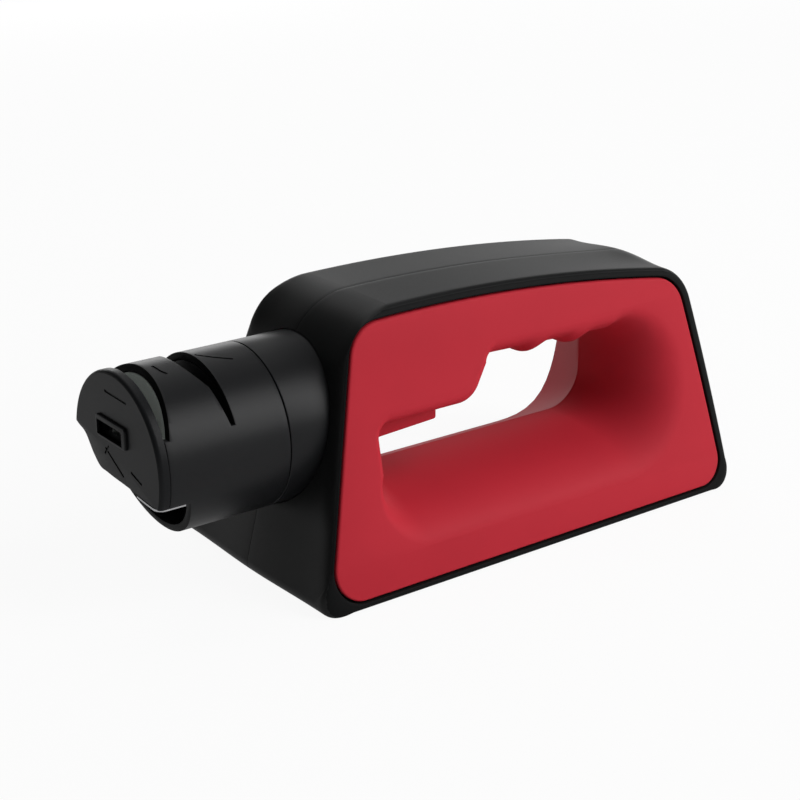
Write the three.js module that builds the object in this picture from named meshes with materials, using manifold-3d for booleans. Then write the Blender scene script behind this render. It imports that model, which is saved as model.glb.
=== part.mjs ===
// Cordless motor-driven knife sharpener: a clamshell body with soft grips round a
// through handle, a short round neck and a round sharpening head on its left end.
// Millimetres, +Z up. The front faces -Y and the head points to -X.
import * as THREE from 'three';
import { mergeVertices } from 'three/addons/utils/BufferGeometryUtils.js';
import Module from 'manifold-3d';

const wasm = await Module();
wasm.setup();

// Fits and cuts
const gap = 0.3;
const overrun = 4;
const shaftPlay = 0.2;

// Body outline, seen from the front
const footHeight = 0.8;
const crestX = -35;
const topRadius = 660;
const leftLean = THREE.MathUtils.degToRad(14.5);
const rightLean = THREE.MathUtils.degToRad(10.1);
const bodyEdge = { left: -93.8, right: 94.9, bottom: footHeight, top: 93.9 };
const gripEdge = { left: -91.2, right: 90.6, bottom: 2.7, top: 90.7 };
const bodyCorner = { bottomLeft: 4.5, bottomRight: 6, topRight: 17, topLeft: 22 };
const gripCorner = { bottomLeft: 11, bottomRight: 10, topRight: 13, topLeft: 13 };
const crown = { end: 1.5, top: 0.5 };
const rim = {
  left: { width: 3, depth: 6, crown: crown.end },
  right: { width: 2.2, depth: 4, crown: crown.end },
  top: { width: 2.4, depth: 3.6, crown: crown.top },
  bottom: { width: 1, depth: 1.4, crown: 0 },
};

// Body thickness, seen from the end: the head's size and the room beside its neck set it
const axisHeight = 54.5;
const headRadius = 27.8;
const neckSideRoom = 5.92;
const faceLean = THREE.MathUtils.degToRad(12.4);
const baseHalfThickness = headRadius + neckSideRoom + Math.tan(faceLean) * axisHeight;

// Shell walls and rims
const wall = 2.4;
const gripWall = 2.4;
const plateRound = 0.5;
const lipWidth = 5.4;
const lipThickness = 2;

// Handle opening
const opening = { left: -60.2, right: 55, floor: 29.3, ceiling: 55.5, barLeft: 67.4, barRight: 65.5 };
const riserFoot = -21;
const riserHead = -12.5;
const openingRadius = { leftCeiling: 3.5, riserFoot: 12, riserHead: 2.5, topRight: 12, floorRight: 14, floorLeft: 11 };
// A bow of 1 curves the funnel's wall as an ellipse and a bow of 0 keeps it straight
const frontFlare = {
  straight: 3,
  left: { width: 5, depth: 11, bow: 1 },
  ceiling: { width: 5, depth: 6, bow: 1 },
  riser: { width: 5.5, depth: 8, bow: 1 },
  bar: { width: 8, depth: 15, bow: 1 },
  right: { width: 20, depth: 60, bow: 1 },
  floor: { width: 15, depth: 60, bow: 1 },
};
const rearFlare = {
  ...frontFlare,
  straight: 0.6,
  right: { width: 20, depth: 60, bow: 0 },
  floor: { width: 21.1, depth: 60, bow: 0 },
  square: 4,
  lean: rightLean,
};
const fingerRidge = { first: 2.4, pitch: 20, width: 13.5, drop: 2.9, count: 3 };

// Head and neck, on one axis; shares of the head's length count from the seam to the cap
const headWall = 2.4;
const neckReach = 13.4;
const neckInside = 10.7;
const neckRoot = bodyEdge.left + Math.tan(leftLean) * axisHeight;
const seamX = neckRoot - neckReach;
const headLength = 43.6;
const capThickness = 3.5;
const jawShare = 0.7775;
const jawX = seamX - headLength * jawShare;
const capJointX = seamX - headLength;
const capFaceX = capJointX - capThickness;
const capEdgeRound = 0.7;
const neckInnerEnd = neckRoot + neckInside;
const neckFlange = { width: 2, height: 1.4, flat: 25.3 };
const spigotLength = 7;
const mountPlateThickness = 2.5;

// Slots in the head
const slotTipShare = 0.428;
const kneeShare = 0.81;
const slotTipHeight = headRadius * slotTipShare;
const kneeHeight = headRadius * kneeShare;
const slotOneShares = { wall: 1.002, top: 0.846, knee: 0.883, tip: 0.959 };
const slotTwoShares = { wall: 0.427, top: 0.6055, knee: 0.5115, tip: 0.463 };
const guideDepthShare = 0.206;
const guideDepth = headLength * guideDepthShare;
const bitSlot = { y: 2.3, z: 7.6, width: 16, height: 5 };
const bitCollar = { front: 2.4, rear: 0.8, above: 1.8, below: 0.8, rise: 0.9 };
// Lower edge of the nose as shares of the head radius, from the front (-Y) to the rear
const noseEdgeShares = [
  [-1.2, -0.39],
  [-0.5, -0.35],
  [0.25, -0.28],
  [0.42, -0.24],
  [0.55, -0.14],
  [0.74, 0.07],
  [0.9, 0.13],
  [1.2, 0.28],
];
const scissorPlate = { thickness: 1, innerShare: 0.45 };
const plateInnerY = -headRadius * scissorPlate.innerShare;
const plateInnerTop = noseEdgeAt(plateInnerY) - gap;

// Grinding wheel and drive
const wheelPlateRoom = 1.45;
const wheelRadius = Math.hypot(plateInnerY, plateInnerTop) - wheelPlateRoom;
const wheelFaceStep = 3;
const wheelFaceRadius = wheelRadius - wheelFaceStep;
const wheelShares = { left: 0.9335, right: 0.493 };
const wheelRimLeft = seamX - headLength * wheelShares.left;
const wheelRimRight = seamX - headLength * wheelShares.right;
const wheelBevel = 1.3;
const wheelBore = 5.8;
const wheelPlay = 0.9;
const nutPocketRadius = 4.3;
const nutPocketDepth = 3;
const nut = { radius: 3.5, length: 2.4, bore: 2.1, sides: 6 };
const motorRadius = 12.1;
const motorLength = 29.5;
const canWall = 0.8;
const bellThickness = 3.6;
const motorNose = { radius: 4.2, length: 2.2 };
const shaftRadius = 1.6;
const rotorRadius = 7.8;
const rotorEndSpace = 4;
const commutator = { radius: 3, length: 4 };
const magnet = { inner: 8.6, spread: THREE.MathUtils.degToRad(130) };
const motorScrew = { radius: 1.2, headRadius: 2.3, headHeight: 1.4, offset: 8, length: 3.6 };

// Trigger, switch and spring
const pivot = { x: -56.4, z: 59.4 };
const triggerSideRoom = 10.64;
const triggerHalfWidth = halfThickness(pivot.z) - triggerSideRoom;
const trigger = { left: -59.3, right: -30.4, heel: 47.2, toe: 48.7, round: 1 };
const triggerTop = { pad: 60.8, hub: 62.8, hubRight: -52.4, flangeRight: -26.4, flangeUnder: 58.3 };
const triggerSwingRoom = 1.3;
const pin = { radius: 1.5, bossRadius: 3.2, bossLength: 5.4 };
const bracket = { left: -58.4, right: -33.5, top: 71, thickness: 2, legClear: 0.9, legThickness: 1.8 };
const microswitch = { left: -56.6, length: 12.8, width: 5.8, height: 5 };
const plunger = { x: -50, radius: 1, length: 4.8 };
const spring = { x: -39.5, radius: 2.6, wire: 0.7, turns: 5, steps: 8, sides: 5 };

// Battery bay and door
const cell = { radius: 7.25, length: 49.5, nubRadius: 2.75, nubLength: 1, edge: 0.8 };
const bayLeft = -53;
const contactSpace = 2.2;
const contactThickness = 0.4;
const bayWall = 1.2;
const bayChamfer = 5;
const cellSpacing = 0.6;
const doorFrame = { thickness: 1.2, halfWidth: 22, left: 4, right: 84 };
const door = { thickness: 1.5, right: 80, halfWidth: 17.3, tongue: 1.1, tongueUnder: 0.8, round: 4 };
const doorGrip = { count: 5, pitch: 2.6, width: 1.2, depth: 0.5, halfLength: 9, x: 68 };

// Case screws and feet
const screwBoss = { radius: 3.7, hole: 1.65, wellRadius: 3.3 };
const screw = { radius: 1.45, headRadius: 2.8, headHeight: 2.2, seatY: 16, tipY: -12 };
const screwTopLeft = { x: -55.5, z: 82.5 };
const screwTopRight = { x: 66, z: 76.8 };
const screwBottomLeft = { x: -73.5, z: 10.6 };
const screwBottomRight = { x: 79, z: 10.6 };
const screwPlaces = [screwTopLeft, screwTopRight, screwBottomLeft, screwBottomRight];
const foot = { radius: 5, pocket: 1.1, x: 71, sideRoom: 11.7 };
const footY = baseHalfThickness - foot.sideRoom;

// Internal wires
const wireRadius = 0.8;
const wireSides = 6;
const wireSteps = 12;

// Facet counts
const arcSteps = 6;
const round = 40;
const smallRound = 14;

// Colours and finishes
const finish = {
  shell: new THREE.MeshStandardMaterial({ color: 0x2b2b2d, roughness: 0.42 }),
  grip: new THREE.MeshStandardMaterial({ color: 0xb3303a, roughness: 0.62 }),
  head: new THREE.MeshStandardMaterial({ color: 0x252527, roughness: 0.38 }),
  grit: new THREE.MeshStandardMaterial({ color: 0x8e978f, roughness: 0.85 }),
  steel: new THREE.MeshStandardMaterial({ color: 0xb9bbbd, roughness: 0.3, metalness: 1 }),
  zinc: new THREE.MeshStandardMaterial({ color: 0x9a9ea3, roughness: 0.45, metalness: 0.8 }),
  plastic: new THREE.MeshStandardMaterial({ color: 0x3a3a3c, roughness: 0.6 }),
  rubber: new THREE.MeshStandardMaterial({ color: 0x1c1c1d, roughness: 0.9 }),
  magnet: new THREE.MeshStandardMaterial({ color: 0x4a4643, roughness: 0.7 }),
  cell: new THREE.MeshStandardMaterial({ color: 0x6f7a86, roughness: 0.35, metalness: 0.4 }),
  wireRed: new THREE.MeshStandardMaterial({ color: 0xa01820, roughness: 0.5 }),
  wireBlack: new THREE.MeshStandardMaterial({ color: 0x18181a, roughness: 0.5 }),
};

// Solids

function toSolid(geometry) {
  const bare = geometry.clone();
  bare.deleteAttribute('normal');
  bare.deleteAttribute('uv');
  const merged = mergeVertices(bare);
  const triVerts = new Uint32Array(merged.index.array);
  return new wasm.Manifold(
    new wasm.Mesh({ numProp: 3, vertProperties: merged.attributes.position.array, triVerts }),
  );
}

function toGeometry(solid) {
  const mesh = solid.getMesh();
  const geometry = new THREE.BufferGeometry();
  geometry.setAttribute('position', new THREE.BufferAttribute(mesh.vertProperties, 3));
  geometry.setIndex(new THREE.BufferAttribute(mesh.triVerts, 1));
  return geometry;
}

function box(low, high) {
  const size = [high[0] - low[0], high[1] - low[1], high[2] - low[2]];
  const geometry = new THREE.BoxGeometry(...size);
  geometry.translate((low[0] + high[0]) / 2, (low[1] + high[1]) / 2, (low[2] + high[2]) / 2);
  return geometry;
}

// A closed profile of [x, radius] points turned about the X axis
function turned(profile, segments) {
  const points = [...profile, profile[0]].map(([x, radius]) => new THREE.Vector2(radius, x));
  const geometry = new THREE.LatheGeometry(points, segments);
  geometry.rotateZ(-Math.PI / 2);
  return orientOut(geometry);
}

function orientOut(geometry) {
  const solid = mergeVertices(stripped(geometry));
  if (signedVolume(solid) < 0) {
    flipFaces(solid);
  }
  return solid;
}

function stripped(geometry) {
  const bare = geometry.clone();
  bare.deleteAttribute('normal');
  bare.deleteAttribute('uv');
  return bare;
}

function flipFaces(geometry) {
  const index = geometry.index.array;
  for (let i = 0; i < index.length; i += 3) {
    [index[i], index[i + 1]] = [index[i + 1], index[i]];
  }
}

function signedVolume(geometry) {
  const position = geometry.attributes.position;
  const index = geometry.index.array;
  const [a, b, c] = [new THREE.Vector3(), new THREE.Vector3(), new THREE.Vector3()];
  let sum = 0;
  for (let i = 0; i < index.length; i += 3) {
    a.fromBufferAttribute(position, index[i]);
    b.fromBufferAttribute(position, index[i + 1]);
    c.fromBufferAttribute(position, index[i + 2]);
    sum += a.dot(b.cross(c));
  }
  return sum;
}

function cylinderY(x, z, radius, low, high, segments) {
  const geometry = new THREE.CylinderGeometry(radius, radius, high - low, segments);
  geometry.translate(x, (low + high) / 2, z);
  return geometry;
}

function cylinderZ(x, y, radius, low, high, segments) {
  const geometry = new THREE.CylinderGeometry(radius, radius, high - low, segments);
  geometry.rotateX(Math.PI / 2);
  geometry.translate(x, y, (low + high) / 2);
  return geometry;
}

// A polygon of [x, z] points pushed along Y
function plateY(points, low, high) {
  const shape = new THREE.Shape(points.map(([x, z]) => new THREE.Vector2(x, z)));
  const geometry = new THREE.ExtrudeGeometry(shape, { depth: high - low, bevelEnabled: false });
  geometry.rotateX(Math.PI / 2);
  geometry.translate(0, high, 0);
  return geometry;
}

// A polygon of [y, z] points pushed along X
function plateX(points, low, high) {
  const shape = new THREE.Shape(points.map(([y, z]) => new THREE.Vector2(y, z)));
  const geometry = new THREE.ExtrudeGeometry(shape, { depth: high - low, bevelEnabled: false });
  geometry.applyMatrix4(new THREE.Matrix4().makeBasis(
    new THREE.Vector3(0, 1, 0),
    new THREE.Vector3(0, 0, 1),
    new THREE.Vector3(1, 0, 0),
  ));
  geometry.translate(low, 0, 0);
  return geometry;
}

// Closed rings of points, from the front to the rear, each counted anticlockwise from the front
function loft(rings) {
  const count = rings[0].length;
  const positions = [];
  for (const point of rings.flat()) {
    positions.push(point.x, point.y, point.z);
  }
  const indices = [];
  for (let ring = 0; ring + 1 < rings.length; ring += 1) {
    for (let i = 0; i < count; i += 1) {
      const a = ring * count + i;
      const b = ring * count + ((i + 1) % count);
      indices.push(a, b + count, b, a, a + count, b + count);
    }
  }
  const flat = (ring) => ring.map((point) => new THREE.Vector2(point.x, point.z));
  for (const [i, j, k] of THREE.ShapeUtils.triangulateShape(flat(rings[0]), [])) {
    indices.push(i, j, k);
  }
  const last = (rings.length - 1) * count;
  for (const [i, j, k] of THREE.ShapeUtils.triangulateShape(flat(rings.at(-1)), [])) {
    indices.push(last + i, last + k, last + j);
  }
  const geometry = new THREE.BufferGeometry();
  geometry.setAttribute('position', new THREE.Float32BufferAttribute(positions, 3));
  geometry.setIndex(indices);
  return geometry;
}

function mirrorY(geometry) {
  const copy = geometry.clone();
  copy.applyMatrix4(new THREE.Matrix4().makeScale(1, -1, 1));
  flipFaces(copy);
  return copy;
}

// Outlines

// Width on the way round a corner: even, or pushed out to a squarer one by a power
function cornerWidth(before, corner, turn, share) {
  const [first, last] = [before.edge.width, corner.edge.width];
  if (!corner.square) {
    return THREE.MathUtils.lerp(first, last, share);
  }
  const alongFirst = (Math.cos(turn * share) / (corner.radius + first)) ** corner.square;
  const alongLast = (Math.sin(turn * share) / (corner.radius + last)) ** corner.square;
  return (alongFirst + alongLast) ** (-1 / corner.square) - corner.radius;
}

// Corners counted anticlockwise; each names the edge treatment of the side that follows it
function roundedOutline(corners) {
  const points = [];
  corners.forEach((corner, i) => {
    const before = corners.at(i - 1);
    const after = corners[(i + 1) % corners.length];
    const into = new THREE.Vector2(corner.x - before.x, corner.z - before.z).normalize();
    const out = new THREE.Vector2(after.x - corner.x, after.z - corner.z).normalize();
    const turn = Math.atan2(into.cross(out), into.dot(out));
    const radius = corner.radius ?? 0;
    const normalIn = new THREE.Vector2(into.y, -into.x);
    const steps = radius > 0 ? arcSteps : 0;
    const reach = radius * Math.tan(Math.abs(turn) / 2);
    const start = new THREE.Vector2(corner.x, corner.z).addScaledVector(into, -reach);
    const side = Math.sign(turn);
    const centre = start.clone().addScaledVector(normalIn, -radius * side);
    for (let step = 0; step <= steps; step += 1) {
      const share = steps > 0 ? step / steps : 1 / 2;
      const normal = normalIn.clone().rotateAround(new THREE.Vector2(), turn * share);
      const place = centre.clone().addScaledVector(normal, radius * side);
      points.push({
        x: place.x,
        z: place.y,
        nx: normal.x,
        nz: normal.y,
        drop: corner.drop ?? 0,
        width: cornerWidth(before, corner, turn, share),
        depth: THREE.MathUtils.lerp(before.edge.depth, corner.edge.depth, share),
        crown: THREE.MathUtils.lerp(before.edge.crown ?? 0, corner.edge.crown ?? 0, share),
        bow: THREE.MathUtils.lerp(before.edge.bow ?? 0, corner.edge.bow ?? 0, share),
      });
    }
  });
  return points;
}

function halfThickness(z) {
  return baseHalfThickness - Math.tan(faceLean) * z;
}

// The four-sided outline of the body or of its grip, with a gently arched top
const topSteps = 8;
function faceOutline(edge, corner) {
  const left = (z) => edge.left + Math.tan(leftLean) * z;
  const right = (z) => edge.right - Math.tan(rightLean) * z;
  const top = (x) => edge.top - topRadius + Math.sqrt(topRadius ** 2 - (x - crestX) ** 2);
  const topLeft = left(top(left(edge.top)));
  const topRight = right(top(right(edge.top)));
  const arch = Array.from({ length: topSteps - 1 }, (_, i) => {
    const x = THREE.MathUtils.lerp(topRight, topLeft, (i + 1) / topSteps);
    return { x, z: top(x), edge: rim.top };
  });
  return roundedOutline([
    { x: left(edge.bottom), z: edge.bottom, radius: corner.bottomLeft, edge: rim.bottom },
    { x: right(edge.bottom), z: edge.bottom, radius: corner.bottomRight, edge: rim.right },
    { x: topRight, z: top(topRight), radius: corner.topRight, edge: rim.top },
    ...arch,
    { x: topLeft, z: top(topLeft), radius: corner.topLeft, edge: rim.left },
  ]);
}

const bodyOutline = faceOutline(bodyEdge, bodyCorner);
const gripOutline = faceOutline(gripEdge, gripCorner);

// A ring on the front face, inset from the outline and deep behind the face
function faceRing(outline, inset, deep) {
  return outline.map((point) => {
    const x = point.x - point.nx * inset;
    const z = point.z - point.nz * inset;
    return new THREE.Vector3(x, -(halfThickness(z) - deep), z);
  });
}

// A ring of the body's rounded rim, from the face (0) to the end of the rounding (1)
function rimRing(share) {
  const inward = 1 - Math.sin(share * (Math.PI / 2));
  const deep = 1 - Math.cos(share * (Math.PI / 2));
  return bodyOutline.map((point) => {
    const x = point.x - point.nx * point.width * inward;
    const z = point.z - point.nz * point.width * inward;
    return new THREE.Vector3(x, -(halfThickness(z) - point.depth * deep), z);
  });
}

// A ring of the body at one share of its half thickness, bulging towards the middle
function bodyRing(inset, share) {
  return bodyOutline.map((point) => {
    const whole = inset - point.crown * (1 - share ** 2);
    const x = point.x - point.nx * whole;
    const z = point.z - point.nz * whole;
    return new THREE.Vector3(x, -halfThickness(z) * share, z);
  });
}

// Handle opening

const barSlope = (opening.barRight - opening.barLeft) / (opening.right - riserHead);
const ridgeSteps = 6;
const fingerSpan = opening.right - openingRadius.topRight;
const ridgePoints = [];
for (let ridge = 0; ridge < fingerRidge.count; ridge += 1) {
  for (let step = 0; step <= ridgeSteps; step += 1) {
    const share = step / ridgeSteps;
    const x = fingerRidge.first + ridge * fingerRidge.pitch + fingerRidge.width * share;
    const start = x - riserHead;
    const drop = fingerRidge.drop * Math.sin(Math.PI * share) ** 2;
    if (x < fingerSpan) {
      ridgePoints.unshift({ x, z: opening.barLeft + barSlope * start, drop });
    }
  }
}

// The right side's flare leans with the body's end, and less so the more a point faces down
const leanFade = 3;
function openingOutline(flare) {
  const outline = roundedOutline([
    { x: opening.left, z: opening.floor, radius: openingRadius.floorLeft, edge: flare.floor },
    { x: opening.right, z: opening.floor, radius: openingRadius.floorRight, edge: flare.right, square: flare.square },
    { x: opening.right, z: opening.barRight, radius: openingRadius.topRight, edge: flare.bar },
    ...ridgePoints.map((point) => ({ ...point, edge: flare.bar })),
    { x: riserHead, z: opening.barLeft, radius: openingRadius.riserHead, edge: flare.riser },
    { x: riserFoot, z: opening.ceiling, radius: openingRadius.riserFoot, edge: flare.ceiling },
    { x: opening.left, z: opening.ceiling, radius: openingRadius.leftCeiling, edge: flare.left },
  ]);
  const leanTop = opening.barRight - openingRadius.topRight;
  return outline.map((point) => {
    const below = Math.max(leanTop - point.z, 0) * Math.max(point.nx, 0) ** leanFade;
    return { ...point, width: point.width + Math.tan(flare.lean ?? 0) * below };
  });
}

// A ring of the opening at one share of its flare; a skin lies outside it
function openingRing(flare, share, skin) {
  const upright = Math.sqrt(1 - share ** 2);
  return openingOutline(flare).map((point) => {
    const opened = THREE.MathUtils.lerp(share, 1 - upright, point.bow);
    const outward = THREE.MathUtils.lerp(1 - share, upright, point.bow);
    const spread = point.width * opened + skin * outward;
    const x = point.x + point.nx * spread;
    const z = point.z + point.nz * spread - point.drop * (1 - share ** 2);
    const face = halfThickness(z);
    const run = Math.min(point.depth, face - flare.straight);
    return new THREE.Vector3(x, -(face - run * (1 - share) - skin * share), z);
  });
}

function movedTo(ring, depth) {
  return ring.map((point) => new THREE.Vector3(point.x, depth(point), point.z));
}

const flareShares = [1, 0.97, 0.87, 0.68, 0.4, 0];
function openingVoid(flare) {
  return loft([
    movedTo(openingRing(flare, 1, 0), (point) => -(halfThickness(point.z) + overrun)),
    ...flareShares.map((share) => openingRing(flare, share, 0)),
    movedTo(openingRing(flare, 0, 0), () => overrun),
  ]);
}
const skinShares = [1, 0.97, 0.87, 0.6, 0];
function openingSkin(flare) {
  return loft([
    movedTo(openingRing(flare, 1, gripWall), (point) => -(halfThickness(point.z) - gripWall / 2)),
    ...skinShares.map((share) => openingRing(flare, share, gripWall)),
    movedTo(openingRing(flare, 0, gripWall), () => -gap / 2),
  ]);
}

// Trigger window through the ceiling of the opening
const triggerWindow = box(
  [opening.left, -triggerHalfWidth - gap, opening.ceiling - overrun],
  [trigger.right + triggerSwingRoom, triggerHalfWidth + gap, opening.ceiling + gripWall + gap],
);

// Grips
const gripPlate = loft([
  faceRing(gripOutline, plateRound, 0),
  faceRing(gripOutline, 0, plateRound),
  faceRing(gripOutline, 0, gripWall),
]);

function pinBoss() {
  const face = halfThickness(pivot.z);
  const inner = -(face - gripWall - pin.bossLength);
  const outer = -(face - gripWall / 2);
  const boss = toSolid(cylinderY(pivot.x, pivot.z, pin.bossRadius, outer, inner, smallRound));
  const hole = cylinderY(pivot.x, pivot.z, pin.radius + shaftPlay, -(face - gripWall), inner + overrun, smallRound);
  return { boss, hole: toSolid(hole) };
}

const pinSeat = pinBoss();
function grip(flare) {
  const solid = toSolid(gripPlate)
    .add(toSolid(openingSkin(flare)))
    .add(pinSeat.boss)
    .subtract(toSolid(openingVoid(flare)))
    .subtract(pinSeat.hole)
    .subtract(toSolid(triggerWindow));
  return toGeometry(solid);
}
const frontGrip = grip(frontFlare);

function screwWell(place, radius, low, high) {
  return toSolid(cylinderY(place.x, place.z, radius, low, high, smallRound));
}

let rearGripSolid = toSolid(mirrorY(grip(rearFlare)));
for (const place of screwPlaces) {
  rearGripSolid = rearGripSolid.subtract(
    screwWell(place, screwBoss.wellRadius, screw.seatY, baseHalfThickness + overrun),
  );
}
const rearGrip = toGeometry(rearGripSolid);

// Shells
function seamRing(inset, y) {
  return bodyRing(inset, 0).map((point) => new THREE.Vector3(point.x, y, point.z));
}

const crownShare = 0.5;
const rimShares = [0, 0.25, 0.5, 0.75, 1];
const shellOuter = loft([
  ...rimShares.map((share) => rimRing(share)),
  bodyRing(0, crownShare),
  seamRing(0, -gap / 2),
]);
const lipBack = gripWall + gap + lipThickness;
const shellCavity = loft([
  faceRing(bodyOutline, wall, lipBack),
  bodyRing(wall, crownShare),
  seamRing(wall, overrun),
]);
const gripRebate = loft([
  faceRing(gripOutline, -gap, -overrun),
  faceRing(gripOutline, -gap, gripWall + gap),
]);
const lipWindow = loft([
  faceRing(gripOutline, lipWidth, -overrun),
  faceRing(gripOutline, lipWidth, lipBack + overrun),
]);

const neckHole = turned(
  [
    [seamX, 0],
    [neckInnerEnd, 0],
    [neckInnerEnd, headRadius + gap],
    [seamX, headRadius + gap],
  ],
  round,
);
neckHole.translate(0, 0, axisHeight);

// Battery door runway in the underside
const doorTop = footHeight + door.thickness;
const doorLeft = bayLeft - bayWall;
const runway = box(
  [doorLeft - gap, -door.halfWidth - gap, 0],
  [bodyEdge.right + overrun, door.halfWidth + gap, doorTop + gap],
);
const runwayGroove = box(
  [doorLeft - gap, -door.halfWidth - door.tongue - gap, footHeight + door.tongueUnder - gap / 2],
  [bodyEdge.right + overrun, door.halfWidth + door.tongue + gap, doorTop + gap],
);
const bayRight = bayLeft + 2 * contactSpace + 2 * (cell.length + cell.nubLength) + cellSpacing;
const bayHalfWidth = 2 * cell.radius + cellSpacing;
const bayWindow = box([bayLeft, -bayHalfWidth, 0], [bayRight, bayHalfWidth, footHeight + wall + overrun]);

function footPocket(x, y) {
  return toSolid(cylinderZ(x, y, foot.radius + gap, 0, footHeight + foot.pocket + gap, smallRound));
}

const doorFrameTop = footHeight + wall + doorFrame.thickness;
const doorFramePad = box(
  [bayLeft - bayWall - doorFrame.left, -doorFrame.halfWidth, footHeight + wall / 2],
  [doorFrame.right, -gap / 2, doorFrameTop],
);

function shellHalf() {
  let half = toSolid(shellOuter)
    .subtract(toSolid(shellCavity))
    .subtract(toSolid(gripRebate))
    .subtract(toSolid(lipWindow));
  for (const place of screwPlaces) {
    const back = -(halfThickness(place.z + screwBoss.radius) - gripWall - gap);
    half = half.add(toSolid(cylinderY(place.x, place.z, screwBoss.radius, back, -gap / 2, smallRound)));
  }
  half = half
    .add(toSolid(doorFramePad))
    .subtract(toSolid(neckHole))
    .subtract(toSolid(runway))
    .subtract(toSolid(runwayGroove))
    .subtract(toSolid(bayWindow));
  for (const x of [-foot.x, foot.x]) {
    half = half.subtract(footPocket(x, -footY));
  }
  return half;
}

const blankShell = toGeometry(shellHalf());
let frontShellSolid = toSolid(blankShell);
for (const place of screwPlaces) {
  frontShellSolid = frontShellSolid.subtract(screwWell(place, screwBoss.hole, screw.tipY - gap, 0));
}
const frontShell = toGeometry(frontShellSolid);
let rearShellSolid = toSolid(mirrorY(blankShell));
for (const place of screwPlaces) {
  rearShellSolid = rearShellSolid
    .subtract(screwWell(place, screwBoss.hole, 0, baseHalfThickness))
    .subtract(screwWell(place, screwBoss.wellRadius, screw.seatY, baseHalfThickness + overrun));
}
const rearShell = toGeometry(rearShellSolid);

// Small fasteners and feet
function caseScrew() {
  const shank = toSolid(cylinderY(0, 0, screw.radius, screw.tipY, screw.seatY + gap, smallRound));
  const head = toSolid(cylinderY(
    0, 0, screw.headRadius, screw.seatY + gap, screw.seatY + gap + screw.headHeight, smallRound,
  ));
  const slotHalf = screw.radius / 4;
  const headTop = screw.seatY + gap + screw.headHeight;
  const along = toSolid(box(
    [-screw.radius, headTop - slotHalf * 2, -slotHalf],
    [screw.radius, headTop + overrun, slotHalf],
  ));
  const across = toSolid(box(
    [-slotHalf, headTop - slotHalf * 2, -screw.radius],
    [slotHalf, headTop + overrun, screw.radius],
  ));
  return toGeometry(shank.add(head).subtract(along).subtract(across));
}

function footPad() {
  const edge = foot.pocket / 2;
  const profile = [
    [0, 0],
    [0, foot.radius - edge],
    [edge, foot.radius],
    [footHeight + foot.pocket, foot.radius],
    [footHeight + foot.pocket, 0],
  ];
  const geometry = turned(profile, smallRound);
  geometry.rotateY(-Math.PI / 2);
  return geometry;
}

// Neck collar: spigot for the head, motor plate, tube and clamping flange
const motorFront = seamX - spigotLength + mountPlateThickness + gap;
const spigotRadius = headRadius - headWall - gap;
const neckBore = spigotRadius - headWall;
const neckCollar = toSolid(turned(
  [
    [seamX - spigotLength, motorNose.radius + gap],
    [seamX - spigotLength, spigotRadius],
    [seamX + gap, spigotRadius],
    [seamX + gap, headRadius],
    [neckInnerEnd, headRadius],
    [neckInnerEnd, headRadius + neckFlange.height],
    [neckInnerEnd + neckFlange.width, headRadius + neckFlange.height],
    [neckInnerEnd + neckFlange.width, neckBore],
    [motorFront - gap, neckBore],
    [motorFront - gap, motorNose.radius + gap],
  ],
  round,
));
let neckSolid = neckCollar;
for (const side of [-1, 1]) {
  const hole = turned(
    [
      [motorFront - mountPlateThickness - overrun, 0],
      [motorFront - mountPlateThickness - overrun, motorScrew.radius + gap],
      [motorFront, motorScrew.radius + gap],
      [motorFront, 0],
    ],
    smallRound,
  );
  hole.translate(0, side * motorScrew.offset, 0);
  neckSolid = neckSolid.subtract(toSolid(hole));
}
// Flats on the flange keep it clear of the front and rear walls
for (const side of [-1, 1]) {
  const inner = side * neckFlange.flat;
  const outer = side * (headRadius + overrun);
  neckSolid = neckSolid.subtract(toSolid(box(
    [neckInnerEnd - gap, Math.min(inner, outer), -headRadius],
    [neckInnerEnd + neckFlange.width + gap, Math.max(inner, outer), headRadius],
  )));
}
const neck = toGeometry(neckSolid);

// Sharpening head
const nosePolygon = [
  ...noseEdgeShares.map(([y, z]) => [y * headRadius, z * headRadius]),
  [headRadius + overrun, -headRadius - overrun],
  [-headRadius - overrun, -headRadius - overrun],
];
const noseCut = plateX(nosePolygon, capFaceX - overrun, jawX);

// A slot with one upright wall and one wall that leans away from it, in two slopes
function slotCut(shares) {
  const high = headRadius + overrun;
  const wallX = seamX - headLength * shares.wall;
  const tipX = seamX - headLength * shares.tip;
  const kneeX = seamX - headLength * shares.knee;
  const topX = seamX - headLength * shares.top;
  const lean = (topX - kneeX) / (headRadius - kneeHeight);
  const outline = [
    [wallX, slotTipHeight],
    [tipX, slotTipHeight],
    [kneeX, kneeHeight],
    [topX + lean * overrun, high],
    [wallX, high],
  ];
  return plateY(outline, -headRadius - overrun, headRadius + overrun);
}

const headTube = toSolid(turned(
  [
    [seamX - gap / 2, headRadius - headWall],
    [seamX - gap / 2, headRadius],
    [capJointX + gap / 2, headRadius],
    [capJointX + gap / 2, headRadius - headWall],
  ],
  round,
));
const guideHead = toGeometry(
  headTube
    .subtract(toSolid(noseCut))
    .subtract(toSolid(slotCut(slotOneShares)))
    .subtract(toSolid(slotCut(slotTwoShares))),
);

// Blade guides behind the two knife slots, hollowed clear of the wheel
const wheelClear = toSolid(turned(
  [
    [wheelRimLeft - wheelBevel - wheelPlay, 0],
    [wheelRimLeft - wheelBevel - wheelPlay, wheelFaceRadius],
    [wheelRimLeft - wheelPlay, wheelRadius + wheelPlay],
    [wheelRimRight + wheelPlay, wheelRadius + wheelPlay],
    [wheelRimRight + wheelBevel + wheelPlay, wheelFaceRadius],
    [wheelRimRight + wheelBevel + wheelPlay, 0],
  ],
  round,
));

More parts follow.
